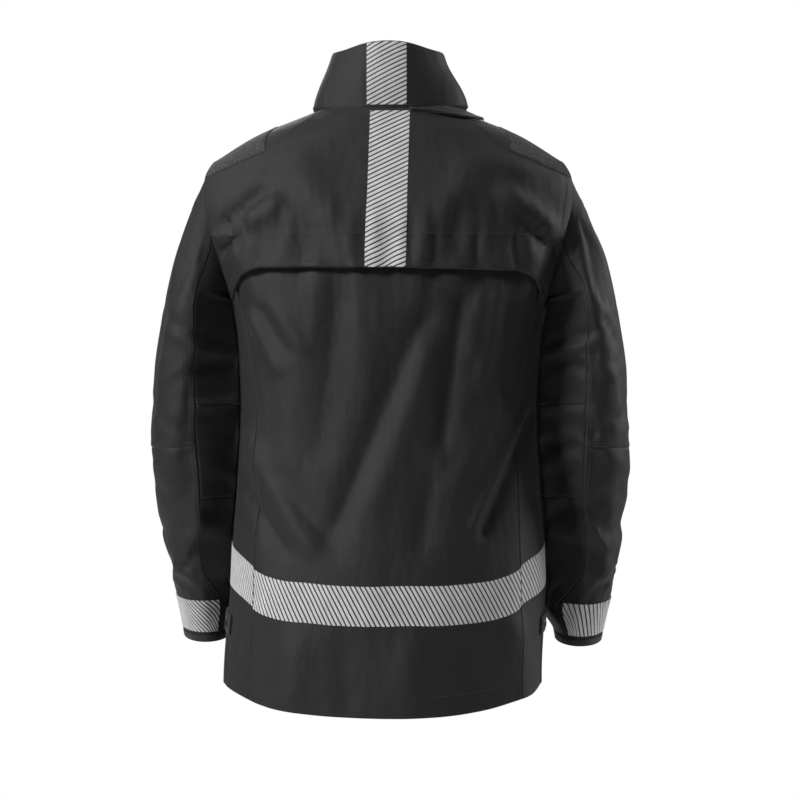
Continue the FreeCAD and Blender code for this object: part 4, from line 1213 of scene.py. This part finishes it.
def build_sleeves():
    ring = np.linspace(0, 1, 91)[:-1]
    foot = CUFF_Z + 2
    sections = (         # label, place, elbow seams, bands along its two long seams
        ("outer", outer_sleeve, OUTER_ELBOW_SEAMS, (8, 8)),
        ("under", under_sleeve, UNDER_ELBOW_SEAMS, (0, 0)),
    )
    for name, side in SIDES:
        arm, sleeve, forearm = arms[name], "sleeve_" + name, "forearm_" + name
        for label, place, seams, bands in sections:
            head_nodes, lower_nodes = (), ()
            if label == "outer":
                head_nodes = ("sleeve_head_" + name,)
                lower_nodes = ("upper_sleeve_" + name, "sleeve_elbow_" + name, "forearm_sleeve_" + name)
            raised = ("torso", sleeve, by_cloth(raise_weight))
            bent = (sleeve, forearm, by_cloth(elbow_weight))
            panel(f"coat_sleeve_{label}_{name}", arm, between(place, SLEEVE_SPLIT_Z, ARMHOLE_TOP_Z - 0.5),
                  spaced(170, 5), spaced(260, 5, near_low=False), OUTSIDE, raised, side, head_nodes,
                  bands=bands + (None, 0), pucker=0.2)
            marks = [height - foot for height in seams]
            panel(f"coat_forearm_{label}_{name}", arm, between(place, foot, SLEEVE_SPLIT_Z), spaced(160, 5),
                  spaced(SLEEVE_SPLIT_Z - foot, 5, near_high=False, marks=marks), OUTSIDE, bent, side,
                  lower_nodes, lift=seam_lift(seams), bands=bands + (0, None), pucker=0.2)
        panel("coat_cuff_band_" + name, arm, between(whole_sleeve, CUFF_Z - 2, CUFF_Z + 7), ring,
              spaced(9, 1.5, False, False), BINDING, forearm, side, ("cuff_band_" + name,), lift=cuff_roll,
              thick=3.2, bands=FREE_EDGES, wrap=True)
        panel("coat_sleeve_lining_" + name, arm, between(whole_sleeve, foot, CUFF_Z + 190), ring,
              np.linspace(0, 1, 24), INSIDE, forearm, side, lift=-4.6, thick=LINING_THICK, bands=FREE_EDGES,
              wrap=True)
        panel("coat_cuff_tab_" + name, arm, cuff_tab_place, spaced(60, 4), spaced(24, 3), BINDING,
              (forearm, "cuff_tab_" + name, by_cloth(cuff_tab_weight)), side, ("cuff_tab_" + name,), lift=2.6,
              thick=2.0, pucker=0.15)


def ring_faces(rings, count, closed=False):
    """Quads between rings of count points each, and from the last ring back to the first where closed."""
    last = rings if closed else rings - 1
    return [(r * count + k, (r + 1) % rings * count + k, (r + 1) % rings * count + (k + 1) % count,
             r * count + (k + 1) % count) for r in range(last) for k in range(count)]


def build_armhole_seams():
    """Corded seam that joins each sleeve to the body."""
    turns = np.linspace(0, 360, 161)[:-1]
    for name, side in SIDES:
        path = armhole(turns) * np.array([side, 1, 1])
        forward = unit(np.roll(path, -1, 0) - np.roll(path, 1, 0))
        out = unit(path - path.mean(0))
        up = unit(np.cross(forward, out))
        rings = []
        for k in range(CORD_SIDES):
            angle = 2 * math.pi * k / CORD_SIDES
            rings.append(path + CORD_RADIUS * (out * math.cos(angle) + up * math.sin(angle)))
        points = np.stack(rings, 1).reshape(-1, 3)
        faces = ring_faces(len(turns), CORD_SIDES, closed=True)
        attach(make_piece("coat_armhole_seam_" + name, points, faces, *OUTSIDE, points[:, 1:]), "torso")


# ---- reflective tape --------------------------------------------------------------------------------------
def segment(surface, place, low, high, t, lift):
    """Points, parameters and faces of one raised strip between two lines along the tape."""
    a, b = (np.stack(rows) for rows in zip(*(place(s, t) for s in (low, (low + high) / 2, high))))
    base = lift(a, b) if callable(lift) else lift
    top = surface.lifted(a, b, base + FILM_LIFT + FILM_THICK)
    under = surface.lifted(a, b, base + FILM_LIFT - 0.3)
    index = np.arange(a.size).reshape(a.shape)
    faces = []
    for layer in (index, index[::-1] + a.size):
        corners = [layer[:-1, :-1], layer[1:, :-1], layer[1:, 1:], layer[:-1, 1:]]
        faces.append(np.stack(corners, -1).reshape(-1, 4))
    for border in (index[:, 0], index[-1, :], index[::-1, -1], index[0, ::-1]):
        p, q = border[:-1], border[1:]
        faces.append(np.stack([p + a.size, q + a.size, q, p], -1))
    points = np.concatenate([top.reshape(-1, 3), under.reshape(-1, 3)])
    params = np.stack([np.tile(a.ravel(), 2), np.tile(b.ravel(), 2)], -1)
    return points, params, np.concatenate(faces)


def film(name, surface, place, length, width, pitch, share, slant, lift, ride, side=1, slope_end=0.0,
         nodes=()):
    """Slanted silver segments. place takes mm along and mm across; slant is mm along per mm across."""
    across = np.linspace(0, width, FILM_ROWS)
    points, faces, params = [], [], []
    first = int(math.floor(min(0, -slant * width) / pitch)) - 1
    last = int(math.ceil((length + max(0, -slant * width) + abs(slant) * width) / pitch)) + 1
    total = 0
    for k in range(first, last):
        starts = (k * pitch, k * pitch + pitch * share)
        cuts = [-start / slant for start in starts]
        cuts += [(length + slope_end * width - start) / (slant + slope_end) for start in starts]
        t = np.unique(np.concatenate([across, [cut for cut in cuts if 0 < cut < width]]))
        limit = length + slope_end * (width - t)
        low, high = (np.clip(start + slant * t, 0, limit) for start in starts)
        inside = high - low > 1e-6
        if (high - low).max() < LEAST_SEGMENT:
            continue
        keep = inside | np.roll(inside, 1) & (t > 0) | np.roll(inside, -1) & (t < width)
        strip, strip_params, strip_faces = segment(surface, place, low[keep], high[keep], t[keep], lift)
        points.append(strip)
        params.append(strip_params)
        faces.append(strip_faces + total)
        total += len(strip)
    points, params, faces = np.concatenate(points), np.concatenate(params), np.concatenate(faces)
    uv = np.stack([points[:, 0] + points[:, 1], points[:, 2]], -1)
    faces = faces if side > 0 else faces[:, ::-1]
    piece = make_piece(name, points, faces, FILM, "reflective_tape", uv, smooth_faces=False)
    if not isinstance(ride, str):
        first_body, second_body, weight = ride
        ride = (first_body, second_body, weight(params[:, 0], params[:, 1], points))
    attach(piece, ride)
    if nodes:
        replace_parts(piece, *nodes)


def measured(surface, a_line, b_line):
    """Total length of a line on a surface, and functions from mm along it back to its two parameters."""
    line = surface.point(a_line, b_line)
    run = np.concatenate([[0], np.cumsum(np.linalg.norm(np.diff(line, axis=0), axis=-1))])
    return run[-1], lambda s: np.interp(s, run, a_line), lambda s: np.interp(s, run, b_line)


def upright_angle(half, t, centre):
    """Angle of a place t mm from the left edge of a strip down the back, centred at an x."""
    x = centre + TAPE_WIDTH / 2 - t
    return 90 - np.sign(x) * (90 - np.degrees(np.arccos((np.abs(x) / half) ** (ROUNDNESS / 2))))


def back_tape_lift(angle, row):
    """The tape follows the flap, raised a little where it crosses the stitches above the free edge."""
    above_edge = row - YOKE_EDGE_Z
    return flap_lift(angle, row) + 0.4 * smooth(above_edge / 2) * (1 - smooth((above_edge - 7) / 3))


def build_back_tapes():
    upright = dict(width=TAPE_WIDTH, share=0.67, slant=0.53)
    rows = np.linspace(YOKE_EDGE_Z + 0.8, -5.0, 90)
    length, _, row_at = measured(torso, np.full(90, 90.0), rows)

    def on_back(s, t):
        row = row_at(s)
        return upright_angle(half_width(row), t, mix(*YOKE_TAPE_CENTRE, row / YOKE_EDGE_Z)), row
    film("tape_back", torso, on_back, length, pitch=6.5, lift=back_tape_lift,
         ride=("torso", "yoke_flap", by_cloth(yoke_weight)), nodes=("yoke_tape", "flap_tape"), **upright)
    rises = np.linspace(0.05, 0.985, 30)
    length, _, rise_at = measured(collar_form, np.full(30, 90.0), rises)

    def on_collar(s, t):
        rise = rise_at(s)
        return upright_angle(mix(half_width(0.0), COLLAR_TOP_HALF_WIDTH, rise), t, COLLAR_TAPE_CENTRE), rise
    film("tape_collar", collar_form, on_collar, length, pitch=6.2, lift=0.0, ride="torso",
         nodes=("collar_tape",), **upright)


def waist_row(angle, up):
    """Row of a place on the waist tape, up mm above its lower edge; the dropped tail stretches the rows."""
    from_side = off_side(angle)
    stretch = 1 + WAIST_STRETCH * np.maximum(0.0, np.sin(np.radians(angle)))
    top = WAIST_TAPE_TOP_Z + WAIST_RISE * (1 - smooth(from_side / WAIST_RISE_ANGLE))
    return top - (TAPE_WIDTH - up) / stretch


def waist_stretch(name, start, end, raised, ride, lift=0.0, nodes=()):
    """One sewn length of the waist tape between two angles."""
    angles = np.linspace(start, end, 240)
    length, angle_at, _ = measured(torso, angles, waist_row(angles, TAPE_WIDTH / 2))

    def place(s, t):
        return angle_at(s), waist_row(angle_at(s), t) + raised
    film(name, torso, place, length, TAPE_WIDTH, 6.4, 0.66, -0.555, lift, ride, nodes=nodes)


def build_waist_tape():
    middle = WAIST_TAPE_TOP_Z - TAPE_WIDTH / 2
    seam, near_zip = float(back_edge(middle)), float(body_at_x(PLACKET_HALF + 1.5, middle))
    waist_stretch("tape_waist_back", seam + 0.3, 180 - seam - 0.3, 0.0, "torso", nodes=("waist_tape_back",))
    for name, side in SIDES:
        ends = [turned(angle, side) for angle in (SIDE_FRONT_ANGLE + 0.3, seam - 0.3)]
        waist_stretch("tape_waist_side_" + name, *sorted(ends), WAIST_STEP, "torso")
        ends = [turned(angle, side) for angle in (near_zip, SIDE_FRONT_ANGLE - 0.4)]
        waist_stretch("tape_waist_front_" + name, *sorted(ends), WAIST_STEP, front_ride(name), lift=0.9,
                      nodes=("waist_tape_front_" + name,))


def build_cuff_tapes():
    foot = CUFF_Z + 12
    for name, side in SIDES:
        arm = arms[name]
        high_end = float(back_seam_turn(foot + CUFF_TAPE_WIDTH)) - 2
        turns = np.linspace(FRONT_SEAM_TURN + 10, 170.0, 120)
        run, turn_at, _ = measured(arm, turns, np.full(120, foot + CUFF_TAPE_WIDTH / 2))
        length = float(np.interp(high_end, turns, np.linspace(0, 1, 120)) * run)
        slant, share = CUFF_STRIPES[name]
        film("tape_cuff_" + name, arm, lambda s, t: (turn_at(s), foot + t + 0 * s), length, CUFF_TAPE_WIDTH,
             5.6, share, slant, 0.8, "forearm_" + name, side, slope_end=0.26, nodes=("cuff_tape_" + name,))


# ---- zips, tabs and small parts ----------------------------------------------------------------------------
def on_zip_line(points):
    """Moves points built upright, facing -Y with z as length, onto the leaning centre front line."""
    x, y, z = points[..., 0], points[..., 1], points[..., 2]
    lean = -math.atan(FRONT_LEAN)
    c, s = math.cos(lean), math.sin(lean)
    return np.stack([x, y * c - z * s + MID_Y - front_depth(0.0), y * s + z * c], -1)


def zip_length(z):
    return z * math.sqrt(1 + FRONT_LEAN ** 2)


def build_zip_coil(name, side, low, high):
    """A row of short round teeth; the two sides are half a pitch apart."""
    count = int((high - low - 18) / COIL_PITCH)
    points, faces = [], []
    for k in range(count):
        z = low + 14 + COIL_PITCH * (k + (0.5 if side < 0 else 0.0))
        start = 16 * k
        for x in (-0.5, 4.3):
            for m in range(8):
                angle = 2 * math.pi * m / 8
                points.append((side * x, 1.7 + 1.1 * math.cos(angle), z + 0.62 * math.sin(angle)))
        faces += [(start + m, start + (m + 1) % 8, start + 8 + (m + 1) % 8, start + 8 + m) for m in range(8)]
        faces += [tuple(start + 7 - m for m in range(8)), tuple(start + 8 + m for m in range(8))]
    points = on_zip_line(np.array(points))
    teeth = make_piece("zip_teeth_" + name, points, faces, COIL, "zip_tape", points[:, [0, 2]])
    attach(teeth, "front_" + name)


def build_front_zip():
    low, high = zip_length(ZIP_BOTTOM_Z), zip_length(ZIP_TOP_Z)
    for name, side in SIDES:
        build_zip_coil(name, side, low, high)
        x, dip = np.array(ZIP_TAPE_PROFILE).T
        xx, zz = np.meshgrid(x, np.linspace(low, high, 160), indexing="ij")
        front_face = np.stack([side * xx, dip[:, None] + 0 * zz, zz], -1)
        back_face = front_face + np.array([0, 0.6, 0])
        layers = np.concatenate([front_face.reshape(-1, 3), back_face.reshape(-1, 3)])
        faces = sheet_faces(*xx.shape)
        faces = faces if side > 0 else faces[:, ::-1]
        piece = make_piece("zip_tape_" + name, on_zip_line(layers), faces, *ZIP_CLOTH, layers[:, [0, 2]])
        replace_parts(attach(piece, "front_" + name), "zip_half_" + name)


def pocket_line(share):
    """x and row at a share of the way down the pocket."""
    return mix(POCKET_TOP[0], POCKET_FOOT[0], share), mix(POCKET_TOP[1], POCKET_FOOT[1], share)


def pocket_place(wide, start, end):
    def place(u, v):
        x, row = pocket_line(mix(end, start, v))
        return body_at_x(x + (u - 0.5) * wide, row), row
    return place


def across_sheet(a):
    """-1 to 1 over a sheet's columns."""
    return np.linspace(-1, 1, a.shape[0])[:, None] + 0 * a


def lips(base, raised, edge, groove, narrow):
    """Lift over a covered zip: two raised lips with a groove between them."""
    def lift(a, b):
        u = across_sheet(a)
        return base + raised * smooth((1 - np.abs(u)) / edge) - groove * np.exp(-(u / narrow) ** 2)
    return lift


def slider_lift(a, b):
    return 4.0 - 1.4 * across_sheet(a) ** 2


def build_pockets():
    for name, side in SIDES:
        slider = "pocket_slider_" + name
        panel("pocket_welt_" + name, torso, pocket_place(13.0, -0.03, 1.03), np.linspace(0, 1, 25),
              np.linspace(0, 1, 60), ZIP_CLOTH, "front_" + name, side, ("pocket_zip_" + name,),
              lift=lips(0.3, 1.5, 0.25, 1.2, 0.12), thick=1.5, bands=FREE_EDGES)
        panel("pocket_slider_body_" + name, torso, pocket_place(7.0, 0.02, 0.11), np.linspace(0, 1, 9),
              np.linspace(0, 1, 12), ZIP_METAL, slider, side, (slider,), lift=slider_lift, thick=2.0)
        panel("pocket_pull_" + name, torso, pocket_place(5.0, 0.06, 0.27), np.linspace(0, 1, 7),
              np.linspace(0, 1, 18), (TRIM, "zip_metal"), slider, side, lift=5.8, thick=1.3)


def dome(centre, out, radius, height):
    """Snap cap: a shallow dome with a rim."""
    out = out / np.linalg.norm(out)
    side = unit(np.cross(out, [0.0, 0.0, 1.0]))
    up = np.cross(out, side)
    points, count = [], 20
    for share, tall in SNAP_PROFILE:
        for k in range(count):
            angle = 2 * math.pi * k / count
            around = side * math.cos(angle) + up * math.sin(angle)
            points.append(centre + radius * share * around + out * height * tall)
    rings = len(SNAP_PROFILE)
    faces = [(a, d, c, b) for a, b, c, d in ring_faces(rings, count)]
    faces += [tuple(range(count))[::-1], tuple((rings - 1) * count + k for k in range(count))]
    return np.array(points), faces


def vent_zip_place(u, v):
    return mix(6.2, 9.8, u), mix(HEM_Z + 2, WAIST_TAPE_TOP_Z - TAPE_WIDTH - 6, v)


def vent_tab_place(u, v):
    return mix(VENT_SEWN, VENT_FREE, u), VENT_TAB_ROW + mix(-12, 12, v)


def build_vents():
    for name, side in SIDES:
        tab = "vent_tab_" + name
        panel("vent_zip_" + name, torso, vent_zip_place, np.linspace(0, 1, 17), np.linspace(0, 1, 40),
              ZIP_CLOTH, "torso", side, lift=lips(0.2, 1.1, 0.3, 0.9, 0.15), thick=1.2, bands=FREE_EDGES)
        panel("vent_tab_strap_" + name, torso, vent_tab_place, spaced(80, 4), spaced(24, 3), BINDING,
              ("torso", tab, by_cloth(vent_weight)), side, (tab,), lift=3.4, thick=2.4, pucker=0.12)
        angle = turned(VENT_FREE - 4, side)
        out = torso.normal_of(torso.point, angle, VENT_TAB_ROW)
        points, faces = dome(torso.point(angle, VENT_TAB_ROW) + out * 3.3, out, 6.5, 2.6)
        attach(make_piece("vent_snap_" + name, points, faces, *ZIP_METAL, points[:, [1, 2]]), tab)


def chest_place(wide, tall):
    def place(u, v):
        row = ID_ROW + (v - 0.5) * tall
        return body_at_x(ID_X + (u - 0.5) * wide, row), row
    return place


def loop_arch(a, b):
    """The microphone loop is sewn at both ends and stands up between them."""
    return 2.2 + 2.4 * smooth((0.8 - np.abs(across_sheet(a))) / 0.35)


def build_chest():
    panel("name_panel", torso, chest_place(ID_WIDE, ID_TALL), spaced(ID_WIDE, 3), spaced(ID_TALL, 3),
          (LOOP, "loop_panel"), "front_left", nodes=("id_panel",), lift=3.0, thick=2.8, pucker=0.1)
    panel("mic_strap", torso, chest_place(50.0, 20.0), spaced(50, 2.5), spaced(20, 3), BINDING,
          "front_right", -1, ("mic_loop",), lift=loop_arch, thick=2.2)


def dress_cad_parts():
    """Hardware whose CAD shape is right keeps it, with softened edges and its own material."""
    materials = {"zip_slider": METAL, "zip_pull": METAL, "zip_box": COIL, "hanger_loop": TRIM}
    for node, material in materials.items():
        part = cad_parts[node]
        for slot in part.material_slots:
            slot.material = material
        bevel = part.modifiers.new("soft_edges", "BEVEL")
        bevel.width, bevel.segments, bevel.limit_method = 0.0003, 2, "ANGLE"


# ---- stitching --------------------------------------------------------------------------------------------
LINE = np.linspace(0, 1, 240)


def level(row):
    return np.full(len(LINE), row)


def stitch_back():
    rows_back = Stitching()
    edge = float(back_edge(HEM_STITCH_ROW))
    rows_back.row(torso, mix(edge, 180 - edge, LINE), level(HEM_STITCH_ROW), 0.0)
    for row, lift in ((-4.2, 5.6), (-9.0, 5.8)):
        angles = mix(STOW_ANGLES[0] + 3, STOW_ANGLES[1] - 3, LINE)
        rows_back.row(torso, angles, row - 4.5 * smooth(LINE * 1.2), lift)
    patch_row = PATCH_INNER_ROW - 2.5
    for _, side in SIDES:
        rows = mix(HEM_Z + 4, -256.0, LINE)
        for backset in (1.4, 4.4):
            rows_back.row(torso, turned(back_edge(rows) + backset * 0.42, side), rows, 0.0)
        angles, rows = gusset_place(LINE, level(0.052))
        rows_back.row(torso, turned(angles, side), rows, 0.0)
        rows = mix(SHOULDER_SEAM[0][0], -6.0, LINE)
        for backset in (1.6, 4.6):
            rows_back.row(torso, turned(yoke_edge(rows) + backset * 0.6, side), rows, YOKE_LIFT + 0.5)
        rows = mix(YOKE_HINGE_Z, -96.0, LINE)
        for backset in (0.8, 5.0):
            rows_back.row(torso, turned(armhole_angle(rows) + backset, side), rows, YOKE_LIFT + 0.4)
        angles, rows = shoulder_place(patch_row, patch_row)(mix(0.04, 0.96, LINE), 0.5)
        rows_back.row(torso, turned(angles, side), rows, PATCH_LIFT)
    rows_back.row(torso, mix(26.0, 154.0, LINE), level(YOKE_HINGE_Z + 1.0), YOKE_LIFT)
    rows_back.build("stitching_back", "torso")


def stitch_flap():
    rows_flap = Stitching()
    angles = mix(WING_TIP_ANGLE + 1, 180 - WING_TIP_ANGLE - 1, LINE)
    rows = flap_edge_row(angles) + 7.5
    for part in (slice(0, 80), slice(79, 160), slice(159, 240)):
        lift = float(flap_lift(angles[part], rows[part]).mean())
        rows_flap.row(torso, angles[part], rows[part], lift, by_cloth(yoke_weight))
    rows_flap.build("stitching_flap", ("torso", "yoke_flap"))


def stitch_front(name, side):
    rows_front = Stitching()

    def seam(angles, rows):
        rows_front.row(torso, turned(angles, side), rows, 0.0, by_place(front_weight))
    rows = mix(HEM_Z + 3, -3.0, crowded(LINE))
    for beside_zip in (2.2, 9.0):
        seam(body_at_x(PLACKET_HALF + beside_zip, rows), rows)
    inner = float(body_at_x(PLACKET_HALF + 2, HEM_STITCH_ROW))
    seam(mix(inner, float(front_edge(HEM_STITCH_ROW)), LINE), level(HEM_STITCH_ROW))
    rows = mix(HEM_Z + 4, HEAD_END_Z, LINE)
    seam(front_edge(rows) - 1.0, rows)
    x, rows = pocket_line(mix(-0.02, 1.02, LINE))
    for across in (-8.5, 8.5):
        seam(body_at_x(x + across, rows), rows)
    rows_front.build("stitching_front_" + name, ("torso", "front_" + name))


def stitch_collar(name, side):
    rows_collar = Stitching()
    for rise in (0.93, 0.045):
        angles = turned(mix(COLLAR_FRONT_ANGLE + 1, 88.0, LINE), side)
        rows_collar.row(collar_form, angles, level(rise), 0.0, by_place(front_weight))
    rows_collar.build("stitching_collar_" + name, ("torso", "front_" + name))


def stitch_sleeve(name):
    arm, rows_top, rows_low = arms[name], Stitching(), Stitching()
    lift, bend = by_cloth(raise_weight), by_cloth(elbow_weight)
    for stitches, low, high, weight in ((rows_top, SLEEVE_SPLIT_Z, ARMHOLE_TOP_Z - 14, lift),
                                        (rows_low, CUFF_Z + 5, SLEEVE_SPLIT_Z, bend)):
        z = mix(low, high, LINE)
        for turns in (back_seam_turn(z) - 2.2, back_seam_turn(z) - 6.6, level(FRONT_SEAM_TURN + 2.2)):
            stitches.row(arm, turns, z, 0.45, weight)
    for height in OUTER_ELBOW_SEAMS:
        for above in (2.4, 5.4):
            turns = mix(FRONT_SEAM_TURN + 2, BACK_SEAM_TURN - 9, LINE)
            rows_low.row(arm, turns, level(height + above), 0.4, bend)
    for height in UNDER_ELBOW_SEAMS:
        turns = mix(BACK_SEAM_TURN + 2, 358 + FRONT_SEAM_TURN, LINE)
        rows_low.row(arm, turns, level(height + 2.4), 0.4, bend)
    rows_low.row(arm, 360 * LINE, level(CUFF_Z + 9), 0.0, bend)
    rows_top.build("stitching_sleeve_" + name, ("torso", "sleeve_" + name))
    rows_low.build("stitching_forearm_" + name, ("sleeve_" + name, "forearm_" + name))


def build_stitching():
    stitch_back()
    stitch_flap()
    for name, side in SIDES:
        stitch_front(name, side)
        stitch_collar(name, side)
        stitch_sleeve(name)


# ---- stage ------------------------------------------------------------------------------------------------
def place_in_scene(name, data, place, facing):
    thing = bpy.data.objects.new(name, data)
    bpy.context.scene.collection.objects.link(thing)
    thing.location = place
    thing.rotation_mode = "QUATERNION"
    thing.rotation_quaternion = facing.to_track_quat("-Z", "Y")
    return thing


def build_floor():
    bpy.ops.mesh.primitive_circle_add(vertices=96, radius=2.6, fill_type="NGON", location=(0, 0, FLOOR_Z))
    floor = bpy.context.object
    floor.name = "studio_floor"
    floor.data.materials.append(floor_paint())


def build_backdrop():
    """White behind the coat for the camera, but only a faint fill for everything else."""
    world = bpy.context.scene.world or bpy.data.worlds.new("studio")
    bpy.context.scene.world = world
    world.use_nodes = True
    nodes, links = world.node_tree.nodes, world.node_tree.links
    backdrop = nodes["Background"]
    backdrop.inputs["Color"].default_value = (1.0, 1.0, 1.0, 1.0)
    seen = nodes.new("ShaderNodeLightPath").outputs["Is Camera Ray"]
    strength = nodes.new("ShaderNodeMapRange")
    links.new(seen, strength.inputs["Value"])
    strength.inputs["To Min"].default_value = BACKDROP_FILL
    strength.inputs["To Max"].default_value = 1.0
    links.new(strength.outputs["Result"], backdrop.inputs["Strength"])


def build_lights_and_camera():
    aim = Vector((0, 0, -0.35))
    for name, place, size, power in SOFTBOXES:
        light = bpy.data.lights.new(name, "AREA")
        light.shape, light.size, light.energy = "SQUARE", size, power
        place_in_scene(name, light, place, aim - Vector(place))
    camera = bpy.data.cameras.new("photo_camera")
    camera.sensor_width = 36.0
    camera.lens = camera.sensor_width * CAMERA_DISTANCE / VIEW_WIDTH
    place = (VIEW_CENTRE[0], BACK_PLANE + CAMERA_DISTANCE, VIEW_CENTRE[1])
    bpy.context.scene.camera = place_in_scene("photo_camera", camera, place, Vector((0, -1, 0)))
    bpy.context.scene.view_settings.view_transform = "Standard"


settle_cloth()
build_back()
build_sides()
build_lining()
build_collar()
build_sleeves()
build_armhole_seams()
build_back_tapes()
build_waist_tape()
build_cuff_tapes()
build_front_zip()
build_pockets()
build_vents()
build_chest()
dress_cad_parts()
build_stitching()
build_floor()
build_backdrop()
build_lights_and_camera()
